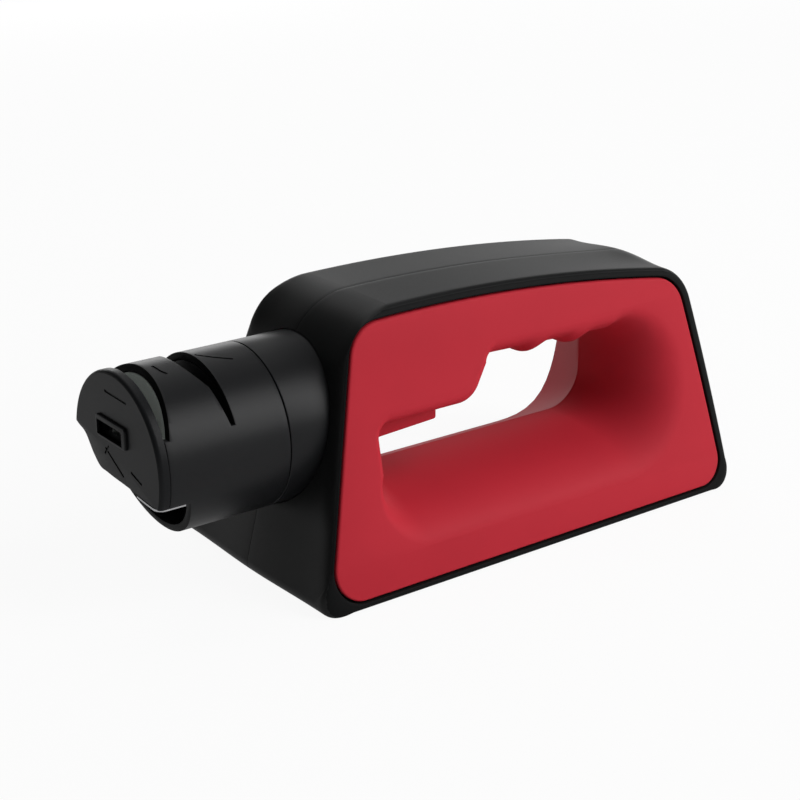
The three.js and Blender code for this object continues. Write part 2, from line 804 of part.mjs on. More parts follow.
function bladeGuide(low, high, slotShares) {
  const disc = toSolid(turned(
    [
      [low, 0],
      [low, headRadius - headWall - gap],
      [high, headRadius - headWall - gap],
      [high, 0],
    ],
    round,
  ));
  const below = toSolid(box(
    [low - overrun, -headRadius, -headRadius],
    [high + overrun, headRadius, slotTipHeight - wall],
  ));
  return toGeometry(disc.subtract(below).subtract(toSolid(slotCut(slotShares))).subtract(wheelClear));
}

const guideOneLeft = seamX - headLength * slotOneShares.tip;
const guideTwoLeft = seamX - headLength * slotTwoShares.top - wall;
const guideOne = bladeGuide(guideOneLeft - gap, guideOneLeft + guideDepth, slotOneShares);
const guideTwo = bladeGuide(guideTwoLeft, guideTwoLeft + guideDepth + wall, slotTwoShares);

// End cap with the slot for screwdriver bits
const capDisc = toSolid(turned(
  [
    [capFaceX, 0],
    [capFaceX, headRadius - capEdgeRound],
    [capFaceX + capEdgeRound, headRadius],
    [capJointX - gap / 2, headRadius],
    [capJointX - gap / 2, 0],
  ],
  round,
));
const bitHalf = { y: bitSlot.width / 2, z: bitSlot.height / 2 };
const bitRaised = toSolid(box(
  [capFaceX - bitCollar.rise, bitSlot.y - bitHalf.y - bitCollar.front, bitSlot.z - bitHalf.z - bitCollar.below],
  [capFaceX + capEdgeRound, bitSlot.y + bitHalf.y + bitCollar.rear, bitSlot.z + bitHalf.z + bitCollar.above],
));
const bitHole = toSolid(box(
  [capFaceX - overrun, bitSlot.y - bitHalf.y, bitSlot.z - bitHalf.z],
  [capJointX + overrun, bitSlot.y + bitHalf.y, bitSlot.z + bitHalf.z],
));
const endCap = toGeometry(capDisc.add(bitRaised).subtract(toSolid(noseCut)).subtract(bitHole));

// Steel plate under the nose that guides scissor blades
function noseEdgeAt(y) {
  const points = noseEdgeShares.map((pair) => pair.map((share) => share * headRadius));
  const after = points.findIndex((point) => point[0] >= y);
  const [a, b] = [points[after - 1], points[after]];
  return THREE.MathUtils.mapLinear(y, a[0], b[0], a[1], b[1]);
}

const plateOuterY = -headRadius - overrun / 4;
const scissorBlank = toSolid(plateX(
  [
    [plateOuterY, noseEdgeAt(plateOuterY) - gap],
    [plateOuterY, noseEdgeAt(plateOuterY) - gap - scissorPlate.thickness],
    [plateInnerY, plateInnerTop - scissorPlate.thickness],
    [plateInnerY, plateInnerTop],
  ],
  capFaceX + capEdgeRound,
  jawX - gap,
));
const scissorRound = toSolid(turned(
  [
    [capFaceX, 0],
    [capFaceX, headRadius - gap],
    [jawX, headRadius - gap],
    [jawX, 0],
  ],
  round,
));
const scissorGuide = toGeometry(scissorBlank.intersect(scissorRound));

// Wheel and its hub
const wheelLeft = wheelRimLeft - wheelBevel;
const wheelRight = wheelRimRight + wheelBevel;
const grindingWheel = turned(
  [
    [wheelLeft, wheelBore],
    [wheelLeft, wheelFaceRadius],
    [wheelRimLeft, wheelRadius],
    [wheelRimRight, wheelRadius],
    [wheelRight, wheelFaceRadius],
    [wheelRight, wheelBore],
  ],
  round,
);
const wheelHub = turned(
  [
    [wheelLeft, nutPocketRadius],
    [wheelLeft, wheelBore - gap],
    [wheelRight, wheelBore - gap],
    [wheelRight, shaftRadius + shaftPlay],
    [wheelLeft + nutPocketDepth, shaftRadius + shaftPlay],
    [wheelLeft + nutPocketDepth, nutPocketRadius],
  ],
  smallRound,
);
const shaftTip = wheelLeft + gap;
const shaftNut = turned(
  [
    [shaftTip, nut.bore],
    [shaftTip, nut.radius],
    [shaftTip + nut.length, nut.radius],
    [shaftTip + nut.length, nut.bore],
  ],
  nut.sides,
);

// Motor
const motorRear = motorFront + motorLength;
const canRear = motorRear - bellThickness;
const motorCan = turned(
  [
    [motorFront - motorNose.length, shaftRadius + shaftPlay],
    [motorFront - motorNose.length, motorNose.radius],
    [motorFront, motorNose.radius],
    [motorFront, motorRadius],
    [canRear - gap, motorRadius],
    [canRear - gap, motorRadius - canWall],
    [motorFront + canWall, motorRadius - canWall],
    [motorFront + canWall, shaftRadius + shaftPlay],
  ],
  round / 2,
);
const rotorFront = motorFront + rotorEndSpace;
const rotorRear = canRear - rotorEndSpace - commutator.length;
const motorRotor = turned(
  [
    [shaftTip, 0],
    [shaftTip, shaftRadius],
    [rotorFront, shaftRadius],
    [rotorFront, rotorRadius],
    [rotorRear, rotorRadius],
    [rotorRear, commutator.radius],
    [rotorRear + commutator.length, commutator.radius],
    [rotorRear + commutator.length, shaftRadius],
    [motorRear - bellThickness / 2, shaftRadius],
    [motorRear - bellThickness / 2, 0],
  ],
  smallRound,
);
const endBell = turned(
  [
    [canRear, shaftRadius + shaftPlay],
    [canRear, motorRadius],
    [motorRear - canWall, motorRadius],
    [motorRear, motorRadius - canWall],
    [motorRear, 0],
    [motorRear - canWall, 0],
    [motorRear - canWall, shaftRadius + shaftPlay],
  ],
  round / 2,
);

function motorMagnet() {
  const outer = motorRadius - canWall - gap;
  const shape = new THREE.Shape();
  shape.absarc(0, 0, outer, -magnet.spread / 2, magnet.spread / 2, false);
  shape.absarc(0, 0, magnet.inner, magnet.spread / 2, -magnet.spread / 2, true);
  const geometry = new THREE.ExtrudeGeometry(shape, {
    depth: rotorRear - rotorFront,
    bevelEnabled: false,
    curveSegments: 6,
  });
  geometry.rotateY(Math.PI / 2);
  geometry.translate(rotorFront, 0, 0);
  return geometry;
}

function mountScrew() {
  const seat = motorFront - gap - mountPlateThickness - gap;
  return turned(
    [
      [seat - motorScrew.headHeight, 0],
      [seat - motorScrew.headHeight, motorScrew.headRadius],
      [seat, motorScrew.headRadius],
      [seat, motorScrew.radius],
      [motorFront - gap, motorScrew.radius],
      [motorFront - gap, 0],
    ],
    smallRound,
  );
}

// Trigger with its hub, pad and stop flange
function triggerPad() {
  const inset = trigger.round;
  const shape = new THREE.Shape([
    [trigger.left + inset, trigger.heel + inset],
    [trigger.right - inset, trigger.toe + inset],
    [trigger.right - inset, triggerTop.flangeUnder + inset],
    [triggerTop.flangeRight - inset, triggerTop.flangeUnder + inset],
    [triggerTop.flangeRight - inset, triggerTop.pad - inset],
    [triggerTop.hubRight, triggerTop.pad - inset],
    [triggerTop.hubRight, triggerTop.hub - inset],
    [trigger.left + inset, triggerTop.hub - inset],
  ].map(([x, z]) => new THREE.Vector2(x, z)));
  const geometry = new THREE.ExtrudeGeometry(shape, {
    depth: 2 * (triggerHalfWidth - inset),
    bevelThickness: inset,
    bevelSize: inset,
    bevelSegments: 3,
  });
  geometry.rotateX(Math.PI / 2);
  geometry.translate(0, triggerHalfWidth - inset, 0);
  return geometry;
}

const triggerBore = toSolid(cylinderY(
  pivot.x, pivot.z, pin.radius + shaftPlay, -triggerHalfWidth - overrun, triggerHalfWidth + overrun, smallRound,
));
const triggerSolid = toGeometry(toSolid(triggerPad()).subtract(triggerBore));
const pinReach = halfThickness(pivot.z) - gripWall - gap;
const triggerPin = cylinderY(pivot.x, pivot.z, pin.radius, -pinReach, pinReach, smallRound);

// Bracket that carries the switch over the trigger
const bracketFoot = opening.ceiling + gripWall + gap;
const bracketUnder = bracket.top - bracket.thickness;
const bracketInner = triggerHalfWidth + bracket.legClear;
const legOuter = bracketInner + bracket.legThickness;
const bracketBlank = plateX(
  [
    [-legOuter, bracketFoot],
    [-bracketInner, bracketFoot],
    [-bracketInner, bracketUnder],
    [bracketInner, bracketUnder],
    [bracketInner, bracketFoot],
    [legOuter, bracketFoot],
    [legOuter, bracket.top],
    [-legOuter, bracket.top],
  ],
  bracket.left,
  bracket.right,
);
const pinNotch = cylinderY(pivot.x, pivot.z, pin.radius + gap, -legOuter - overrun, legOuter + overrun, smallRound);
const switchBracket = toGeometry(toSolid(bracketBlank).subtract(toSolid(pinNotch)));
const switchTop = bracketUnder - gap;
const switchBody = toGeometry(
  toSolid(box(
    [microswitch.left, -microswitch.width / 2, switchTop - microswitch.height],
    [microswitch.left + microswitch.length, microswitch.width / 2, switchTop],
  )).subtract(toSolid(cylinderZ(
    plunger.x, 0, plunger.radius + shaftPlay, bracketFoot, switchTop - microswitch.height / 4, smallRound,
  ))),
);
const plungerFoot = triggerTop.pad + gap;
const switchPlunger = cylinderZ(plunger.x, 0, plunger.radius, plungerFoot, plungerFoot + plunger.length, smallRound);

// Return spring: one tube wound in a helix, with flat ends clear of its seats
function coilSpring(height) {
  const positions = [];
  const indices = [];
  const rings = spring.turns * spring.steps;
  const rise = height - 2 * spring.wire;
  for (let ring = 0; ring <= rings; ring += 1) {
    const angle = (ring / spring.steps) * 2 * Math.PI;
    const z = spring.wire + rise * (ring / rings);
    for (let side = 0; side < spring.sides; side += 1) {
      const around = (side / spring.sides) * 2 * Math.PI;
      const radius = spring.radius + (spring.wire / 2) * Math.cos(around);
      positions.push(radius * Math.cos(angle), radius * Math.sin(angle), z + (spring.wire / 2) * Math.sin(around));
    }
  }
  for (let ring = 0; ring < rings; ring += 1) {
    for (let side = 0; side < spring.sides; side += 1) {
      const a = ring * spring.sides + side;
      const b = ring * spring.sides + ((side + 1) % spring.sides);
      indices.push(a, a + spring.sides, b, b, a + spring.sides, b + spring.sides);
    }
  }
  const last = rings * spring.sides;
  for (let side = 1; side + 1 < spring.sides; side += 1) {
    indices.push(0, side, side + 1);
    indices.push(last, last + side + 1, last + side);
  }
  const geometry = new THREE.BufferGeometry();
  geometry.setAttribute('position', new THREE.Float32BufferAttribute(positions, 3));
  geometry.setIndex(indices);
  return orientOut(geometry);
}

const springRise = spring.wire * 2;
const springHeight = bracketUnder - triggerTop.pad - gap;
const coilPitch = (springHeight - springRise) / spring.turns;
console.log(`least gap between spring turns ${(coilPitch - spring.wire).toFixed(2)} mm`);

// Battery bay
const bayFloor = doorFrameTop + gap;
const cellAxisZ = bayFloor + gap + cell.radius;
const bayTop = cellAxisZ + cell.radius + gap;
function bayProfile(halfWidth, floor, top, chamfer) {
  return [
    [-halfWidth, floor],
    [halfWidth, floor],
    [halfWidth, top - chamfer],
    [halfWidth - chamfer, top],
    [chamfer - halfWidth, top],
    [-halfWidth, top - chamfer],
  ];
}
const bayInnerChamfer = bayChamfer - bayWall * (2 - Math.SQRT2);
const batteryBox = toGeometry(
  toSolid(plateX(
    bayProfile(bayHalfWidth + bayWall, bayFloor, bayTop + bayWall, bayChamfer),
    bayLeft - bayWall,
    bayRight + bayWall,
  )).subtract(toSolid(plateX(
    bayProfile(bayHalfWidth, 0, bayTop, bayInnerChamfer),
    bayLeft,
    bayRight,
  ))),
);
const cellSolid = turned(
  [
    [0, 0],
    [0, cell.radius - cell.edge],
    [cell.edge, cell.radius],
    [cell.length - cell.edge, cell.radius],
    [cell.length, cell.radius - cell.edge],
    [cell.length, cell.nubRadius],
    [cell.length + cell.nubLength, cell.nubRadius],
    [cell.length + cell.nubLength, 0],
  ],
  smallRound,
);
const cellPitch = cell.length + cell.nubLength + cellSpacing;
const cellY = cell.radius + cellSpacing / 2;

// A folded spring leaf that bows from the end wall towards the cell
function contactLeaf(width) {
  const bow = contactSpace - gap;
  const half = cell.radius * 0.7;
  const points = [
    [gap, -half],
    [gap, half],
    [gap + contactThickness, half],
    [bow, 0],
    [gap + contactThickness, -half],
  ];
  return plateY(points, -width / 2, width / 2);
}

const contactWidth = cell.radius * 1.1;
const bridgeWidth = cellY * 2 + cell.radius;

// Battery door with side tongues and a finger grip
function batteryDoor() {
  const plate = toSolid(box(
    [doorLeft, -door.halfWidth, footHeight],
    [door.right, door.halfWidth, doorTop],
  ));
  const tongues = toSolid(box(
    [doorLeft, -door.halfWidth - door.tongue, footHeight + door.tongueUnder],
    [door.right, door.halfWidth + door.tongue, doorTop],
  ));
  let solid = plate.add(tongues);
  for (let i = 0; i < doorGrip.count; i += 1) {
    const x = doorGrip.x - i * doorGrip.pitch;
    solid = solid.subtract(toSolid(box(
      [x - doorGrip.width / 2, -doorGrip.halfLength, 0],
      [x + doorGrip.width / 2, doorGrip.halfLength, footHeight + doorGrip.depth],
    )));
  }
  return toGeometry(solid);
}

// Wires follow points chosen by hand
function wire(points) {
  const circle = new THREE.Shape();
  circle.absarc(0, 0, wireRadius, 0, 2 * Math.PI, false);
  const path = new THREE.CatmullRomCurve3(points.map((point) => new THREE.Vector3(...point)));
  return new THREE.ExtrudeGeometry(circle, {
    extrudePath: path,
    steps: wireSteps,
    curveSegments: wireSides / 2,
    bevelEnabled: false,
  });
}

const wireClear = wireRadius + gap;
const bayEnd = bayLeft - bayWall - wireClear;
const wireLane = { supply: -4, back: 6, rise: 5 };
const wireWall = neckInnerEnd + neckFlange.width + wireClear * 2;
const switchEnd = microswitch.left - wireClear;
const switchMiddle = switchTop - microswitch.height / 2;
const motorTail = motorRear + wireClear;
const supplyRoute = [
  [bayEnd, -cellY, cellAxisZ],
  [bayEnd - wireLane.rise, -cellY, cellAxisZ + wireLane.rise / 2],
  [wireWall, wireLane.supply, cellAxisZ + wireLane.rise * 3],
  [wireWall, wireLane.supply, axisHeight],
  [wireWall + wireLane.rise / 2, wireLane.supply / 2, switchMiddle - wireClear],
  [switchEnd, 0, switchMiddle - wireClear],
];
const switchedRoute = [
  [switchEnd, 0, switchMiddle + wireClear],
  [switchEnd - wireLane.rise, wireLane.back / 2, switchMiddle + wireClear],
  [motorTail + gap, wireLane.back, axisHeight + wireLane.rise * 2],
  [motorTail, wireLane.back, axisHeight + wireLane.rise],
];
const returnRoute = [
  [bayEnd, cellY, cellAxisZ],
  [bayEnd - wireLane.rise, cellY, cellAxisZ + wireLane.rise / 2],
  [wireWall, wireLane.back, cellAxisZ + wireLane.rise * 3],
  [wireWall, wireLane.back, axisHeight - wireLane.rise * 3],
  [motorTail, wireLane.back, axisHeight - wireLane.rise],
];

// Assembly

function mesh(name, geometry, material) {
  const part = new THREE.Mesh(geometry, material);
  part.name = name;
  return part;
}

const sharpener = new THREE.Group();

const body = new THREE.Group();
body.add(mesh('front_shell', frontShell, finish.shell));
body.add(mesh('rear_shell', rearShell, finish.shell));
body.add(mesh('front_grip', frontGrip, finish.grip));
body.add(mesh('rear_grip', rearGrip, finish.grip));
screwPlaces.forEach((place, i) => {
  const part = mesh(`case_screw_${i + 1}`, caseScrew(), finish.steel);
  part.position.set(place.x, 0, place.z);
  body.add(part);
});
for (const [side, y] of [['front', -footY], ['rear', footY]]) {
  for (const [end, x] of [['left', -foot.x], ['right', foot.x]]) {
    const part = mesh(`foot_${side}_${end}`, footPad(), finish.rubber);
    part.position.set(x, y, 0);
    body.add(part);
  }
}
sharpener.add(body);

const drive = new THREE.Group();
drive.position.z = axisHeight;
drive.add(mesh('neck_collar', neck, finish.head));
drive.add(mesh('guide_head', guideHead, finish.head));
drive.add(mesh('end_cap', endCap, finish.head));
drive.add(mesh('blade_guide_left', guideOne, finish.head));
drive.add(mesh('blade_guide_right', guideTwo, finish.head));
drive.add(mesh('scissor_guide', scissorGuide, finish.steel));
drive.add(mesh('grinding_wheel', grindingWheel, finish.grit));
drive.add(mesh('wheel_hub', wheelHub, finish.plastic));
drive.add(mesh('shaft_nut', shaftNut, finish.steel));
drive.add(mesh('motor_can', motorCan, finish.zinc));
drive.add(mesh('motor_end_bell', endBell, finish.plastic));
drive.add(mesh('motor_rotor', motorRotor, finish.steel));
for (const [name, turn] of [['magnet_rear', Math.PI / 2], ['magnet_front', -Math.PI / 2]]) {
  const part = mesh(name, motorMagnet(), finish.magnet);
  part.rotation.x = turn;
  drive.add(part);
}
for (const [name, side] of [['motor_screw_front', -1], ['motor_screw_rear', 1]]) {
  const part = mesh(name, mountScrew(), finish.steel);
  part.position.y = side * motorScrew.offset;
  drive.add(part);
}
sharpener.add(drive);

const control = new THREE.Group();
control.add(mesh('trigger', triggerSolid, finish.grip));
control.add(mesh('trigger_pin', triggerPin, finish.steel));
control.add(mesh('switch_bracket', switchBracket, finish.plastic));
control.add(mesh('switch_body', switchBody, finish.rubber));
control.add(mesh('switch_plunger', switchPlunger, finish.plastic));
const returnSpring = mesh('trigger_spring', coilSpring(springHeight), finish.steel);
returnSpring.position.set(spring.x, 0, triggerTop.pad + gap / 2);
control.add(returnSpring);
sharpener.add(control);

const power = new THREE.Group();
power.add(mesh('battery_box', batteryBox, finish.plastic));
power.add(mesh('battery_door', batteryDoor(), finish.shell));
for (const [i, row] of [-1, 1].entries()) {
  for (const column of [0, 1]) {
    const part = mesh(`cell_${2 * i + column + 1}`, cellSolid.clone(), finish.cell);
    part.position.set(bayLeft + contactSpace + column * cellPitch, row * cellY, cellAxisZ);
    power.add(part);
  }
}
for (const [name, row] of [['contact_front', -1], ['contact_rear', 1]]) {
  const part = mesh(name, contactLeaf(contactWidth), finish.zinc);
  part.position.set(bayLeft, row * cellY, cellAxisZ);
  power.add(part);
}
const contactBridge = mesh('contact_bridge', contactLeaf(bridgeWidth), finish.zinc);
contactBridge.position.set(bayRight, 0, cellAxisZ);
contactBridge.rotation.z = Math.PI;
power.add(contactBridge);
power.add(mesh('wire_supply', wire(supplyRoute), finish.wireRed));
power.add(mesh('wire_switched', wire(switchedRoute), finish.wireRed));
power.add(mesh('wire_return', wire(returnRoute), finish.wireBlack));
sharpener.add(power);

// The origin is on the table under the middle of the footprint
const bounds = new THREE.Box3().setFromObject(sharpener);
const assembly = new THREE.Group();
sharpener.position.x = -(bounds.min.x + bounds.max.x) / 2;
assembly.add(sharpener);

export default assembly;
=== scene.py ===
"""Cordless knife sharpener: fine pieces, finishes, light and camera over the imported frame.

Shapes are worked out in millimetres in the housing's own frame, where the seam of the head
lies at x = SEAM_X, and place() turns them into metres in the shared frame.
"""

import math

import bmesh
import bpy
import numpy as np
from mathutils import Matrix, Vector
from mathutils.geometry import tessellate_polygon


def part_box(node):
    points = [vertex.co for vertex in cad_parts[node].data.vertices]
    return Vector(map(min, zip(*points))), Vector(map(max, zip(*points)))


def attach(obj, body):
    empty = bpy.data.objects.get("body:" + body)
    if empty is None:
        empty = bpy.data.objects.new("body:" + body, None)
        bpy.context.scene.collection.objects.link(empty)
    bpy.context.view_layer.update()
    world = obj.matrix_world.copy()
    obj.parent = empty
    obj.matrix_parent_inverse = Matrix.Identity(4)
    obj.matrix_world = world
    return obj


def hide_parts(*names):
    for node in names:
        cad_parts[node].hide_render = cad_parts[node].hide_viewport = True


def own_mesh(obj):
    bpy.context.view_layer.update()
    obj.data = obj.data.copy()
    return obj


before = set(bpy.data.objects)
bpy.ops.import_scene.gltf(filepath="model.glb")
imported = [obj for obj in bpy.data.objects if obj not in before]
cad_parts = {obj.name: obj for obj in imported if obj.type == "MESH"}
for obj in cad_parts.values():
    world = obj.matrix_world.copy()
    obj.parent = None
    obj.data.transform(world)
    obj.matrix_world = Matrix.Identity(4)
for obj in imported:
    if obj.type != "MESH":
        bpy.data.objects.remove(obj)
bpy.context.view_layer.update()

# Units and fits; OVERRUN is how far a cutter reaches beyond what it cuts
MM = 0.001
GAP = 0.3
OVERRUN = 4

# Housing outline: the solids' own, with finer corners and rim and a right end that bows out
CREST_X = -35
TOP_RADIUS = 660
LEFT_LEAN = math.radians(14.5)
RIGHT_LEAN = math.radians(10.1)
BODY_EDGE = {"left": -93.8, "right": 94.5, "bottom": 0.5, "top": 93.7, "lean": 0.006, "bow": 1.2}
GRIP_EDGE = {"left": -91.2, "right": 90.6, "bottom": 2.7, "top": 90.7, "lean": 0, "bow": 0.9}
BODY_RADIUS = {"bottom_left": 3.8, "bottom_right": 6.5, "top_right": 16, "top_left": 24.5}
GRIP_RADIUS = {"bottom_left": 11, "bottom_right": 10, "top_right": 13, "top_left": 13}
CORNER_STEPS = 18
ARCH_SHARES = np.linspace(0.09, 0.88, 20)
SIDE_SHARES = np.linspace(0.13, 0.76, 9)
RIM = {
    "left": {"depth": 7, "crown": 1.5, "crease": 0},
    "right": {"depth": 3, "crown": 2.4, "crease": 0},
    "top": {"depth": 3.2, "crown": 0.3, "crease": 1},
    "bottom": {"depth": 1.4, "crown": 0, "crease": 0},
}
SHOULDER = {"rise": 1.3, "reach": 0.4}
AXIS_Z = 54.5
HEAD_RADIUS = 27.8
NECK_ROOM = 5.92
FACE_LEAN = math.radians(12.4)
HALF_BASE = HEAD_RADIUS + NECK_ROOM + math.tan(FACE_LEAN) * AXIS_Z
BASE_Z = 0.8

# Housing walls and the lip behind the grip
WALL = 2.4
LIP_WIDTH = 5.4
LIP_BACK = WALL + GAP + 2

# Front border: the power keeps its strip flat and its outer edge tight
RIM_START = 0.14
RIM_POWER = 0.7
RIM_STEPS = 18
RIM_LEAST = 0.2
RECESS_EDGE = 0.15
# How squarely a border face must face front to take the painted shade
SHADED_BORDER_FACING = 0.84

# Side wall, and the wall's end at the parting line as insets and distances from the middle plane
WALL_SHARES = np.linspace(0.1, 0.99, 12)
CREASE_POWER = 1.5
SEAM_HALF = 0.05
SEAM_SHUT = 0.003
SEAM_STEPS = [
    (0.03, SEAM_HALF + 0.06),
    (0.12, SEAM_HALF),
    (0.4, SEAM_HALF),
    (0.5, SEAM_SHUT),
    (WALL, SEAM_SHUT),
]

# Handle opening; a bow of 1 curves the funnel's wall as an ellipse and a bow of 0 keeps it straight
OPENING = {
    "left": -60.2,
    "right": 55,
    "floor": 29.3,
    "ceiling": 55.5,
    "bar_left": 67.4,
    "bar_right": 65.5,
}
RISER_FOOT = -21
RISER_HEAD = -12.5
OPENING_RADIUS = {
    "left_ceiling": 3.5,
    "riser_foot": 12,
    "riser_head": 2.5,
    "top_right": 12,
    "floor_right": 14,
    "floor_left": 11,
}
OPENING_STEPS = 14
FRONT_FLARE = {
    "straight": 3,
    "left": {"width": 5, "depth": 11, "bow": 1},
    "ceiling": {"width": 5, "depth": 6, "bow": 1},
    "riser": {"width": 5.5, "depth": 8, "bow": 1},
    "bar": {"width": 8, "depth": 15, "bow": 1},
    "right": {"width": 20, "depth": 60, "bow": 1},
    "floor": {"width": 15, "depth": 60, "bow": 1},
}
REAR_FLARE = {
    **FRONT_FLARE,
    "straight": 0.6,
    "square": 4,
    "lean": RIGHT_LEAN,
    "right": {"width": 20, "depth": 60, "bow": 0},
    "floor": {"width": 21.1, "depth": 60, "bow": 0},
}
LEAN_FADE = 3
RIDGE = {"first": 2.4, "pitch": 20, "width": 13.5, "drop": 2.9, "count": 3, "steps": 15}

# Grips
GRIP_INSET = 0.5
GRIP_FILLET = 0.9
FILLET_STEPS = 5
FUNNEL_STEPS = 18
SKIN_STEPS = 8

# Neck and head, measured along x from the seam towards the nose
SEAM_X = -93.105
SEAM_GAP = 0.15
ROUND_STEPS = 160
HEAD_LENGTH = 43.6
HEAD_PITCH = 1.5
CAP_THICKNESS = 3.5
JAW_FOOT = {"x": SEAM_X - HEAD_LENGTH * 0.7775 + 1.7, "z": -HEAD_RADIUS * 0.95, "lean": 0.235}
CAP_JOINT_X = SEAM_X - HEAD_LENGTH
CAP_FACE_X = CAP_JOINT_X - CAP_THICKNESS
CAP_SHOULDER = {"start": 0.45, "deep": 1.5, "drop": 1.2, "steps": 8}
CAP_CREASE = {"step": 0.12, "land": 0.3}
CAP_GAP = 0.06
NECK_END = -69.005
SPIGOT = 7
MOTOR_PLATE = 2.5
MOTOR_HOLE = 4.5
SLOT_TIP_Z = HEAD_RADIUS * 0.428
KNEE_Z = HEAD_RADIUS * 0.81
SLOT_ONE = {"wall": 1.002, "top": 0.846, "knee": 0.883, "tip": 0.959}
SLOT_TWO = {"wall": 0.427, "top": 0.6055, "knee": 0.5115, "tip": 0.463}
# How squarely a slot wall must face along x to take the painted shade
SHADED_SLOT_WALL_FACING = 0.75
GUIDE_DEPTH = HEAD_LENGTH * 0.206
BIT = {"y": 2.3, "z": 7.6, "width": 16, "height": 5}
COLLAR = {"front": 2.4, "rear": 0.8, "above": 1.8, "below": 0.8, "rise": 0.9, "sink": 1, "corner": 1.5}
PLATE = {"outer": 0.91, "inner": 0.45, "jaw": 0.35, "room": 1.2, "ahead": 0.1, "thick": 0.65}
PLATE_CORNER = {"radius": 3, "steps": 12}
PLATE_PARTS = 10

# Lower edge of the nose as shares of the head radius, from the front (-Y) to the rear
NOSE_EDGE = [
    (-1.2, -0.35),
    (-0.9, -0.335),
    (-0.6, -0.32),
    (-0.3, -0.293),
    (0.24, -0.262),
    (0.42, -0.24),
    (0.55, -0.14),
    (0.74, 0.07),
    (0.9, 0.13),
    (1.2, 0.28),
]
NOSE_STEPS = 80

# Plain grooves: a width with (x, degrees from the top to the front) on the head, (y, z) ends on the cap
MARK = {"depth": 0.35, "above": 1, "cap_width": 0.85}
HEAD_MARKS = [
    (0.8, [(-111.0, 0.5), (-109.2, 5.3), (-107.1, 9.5), (-104.4, 13.5), (-101.5, 17)]),
    (0.9, [(-126.9, 3), (-126.7, 8), (-126.4, 12.5), (-125.2, 16.6)]),
]
CAP_MARKS = [
    ((5.4, 20.6), (-8.5, 20.3)),
    ((7.0, 1.0), (-4.3, -5.4)),
    ((7.6, -1.2), (4.6, 2.2)),
    ((-9.2, -2.1), (-15.9, -4.1)),
]

# Wheel, trigger, screws, feet and door
WHEEL = {"radius": 14.5, "face_radius": 11.5, "bevel": 1.3, "bore": 5.8, "room": 0.9}
WHEEL_LEFT = SEAM_X - HEAD_LENGTH * 0.9335
WHEEL_RIGHT = SEAM_X - HEAD_LENGTH * 0.493
TRIGGER = {"left": -59.3, "right": -30.4, "heel": 47.2, "toe": 48.7, "half": 22}
TRIGGER_TOP = {
    "pad": 60.8,
    "hub": 62.8,
    "hub_right": -52.4,
    "flange_right": -26.4,
    "flange_under": 58.3,
}
TRIGGER_WINDOW = {"below": 4, "right": 1.3}
SCREWS = [(-55.5, 82.5), (66, 76.8), (-73.5, 10.6), (79, 10.6)]
SCREW = {"hole": 1.65, "boss": 3.7, "well": 3.3, "seat": 16, "tip": -12, "end": 0.15}
WELL_CUT = (10, 60)
FOOT = {"x": 71, "y": 34, "radius": 5, "top": 1.9, "pocket": 2.2}
TREAD = {"groove": (2.2, 3.3), "depth": 0.35, "slope": 0.3}
DOOR = {"left": -54.2, "right": 80, "half": 17.3, "thickness": 1.5}
TONGUE = {"width": 1.1, "under": 0.8, "inset": 0.05}
DOOR_GRIP = {"count": 5, "pitch": 2.6, "width": 1.2, "depth": 0.5, "half": 9, "x": 68}
BAY = {"left": -53, "right": 54.6, "half": 15.1, "top": 7}

# Surface grain, floor and its share of the white seen in reflections
MOTTLE_SCALE = 38.0
ROUGH_SWING = 0.05
GRAIN_STRENGTH = 0.35
FLOOR_HALF = 6.0
FLOOR_WHITE = 0.93
FLOOR_IN_GLOSS = 0.45

shift_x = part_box("neck_collar")[0].x / MM - (SEAM_X - SPIGOT)


def place(points):
    """Housing-frame millimetres to shared-frame metres."""
    moved = np.array(points, dtype=float)
    moved[:, 0] += shift_x
    return moved * MM


def half_thickness(z):
    """Distance of the leaning front face from the middle plane at a height."""
    return HALF_BASE - math.tan(FACE_LEAN) * z


# Mesh helpers


def new_object(name, points, faces):
    mesh = bpy.data.meshes.new(name)
    mesh.from_pydata([tuple(p) for p in place(points)], [], [tuple(f) for f in faces])
    mesh.validate()
    obj = bpy.data.objects.new(name, mesh)
    bpy.context.scene.collection.objects.link(obj)
    outward(obj)
    return obj


def outward(obj):
    """Merges doubles, drops loose edges and turns every face outward."""
    bm = bmesh.new()
    bm.from_mesh(obj.data)
    bmesh.ops.remove_doubles(bm, verts=bm.verts, dist=1e-7)
    loose = [edge for edge in bm.edges if not edge.link_faces]
    bmesh.ops.delete(bm, geom=loose, context="EDGES")
    bmesh.ops.recalc_face_normals(bm, faces=bm.faces)
    bm.to_mesh(obj.data)
    bm.free()


def apply_modifiers(obj):
    graph = bpy.context.evaluated_depsgraph_get()
    baked = bpy.data.meshes.new_from_object(obj.evaluated_get(graph))
    obj.modifiers.clear()
    old = obj.data
    obj.data = baked
    baked.name = obj.name
    bpy.data.meshes.remove(old)


def cut(obj, *cutters):
    """Takes the cutters out of obj and removes them."""
    for cutter in cutters:
        modifier = obj.modifiers.new("cut", "BOOLEAN")
        modifier.operation = "DIFFERENCE"
        modifier.solver = "MANIFOLD"
        modifier.object = cutter
        apply_modifiers(obj)
        bpy.data.objects.remove(cutter)
    return obj


def join(obj, *others):
    """Adds the others' meshes to obj and removes them."""
    bm = bmesh.new()
    bm.from_mesh(obj.data)
    for other in others:
        bm.from_mesh(other.data)
        bpy.data.objects.remove(other)
    bm.to_mesh(obj.data)
    bm.free()


def rounded_edges(obj, width, segments=3, angle=35):
    modifier = obj.modifiers.new("edges", "BEVEL")
    modifier.width = width * MM
    modifier.segments = segments
    modifier.limit_method = "ANGLE"
    modifier.angle_limit = math.radians(angle)
    apply_modifiers(obj)
    return obj


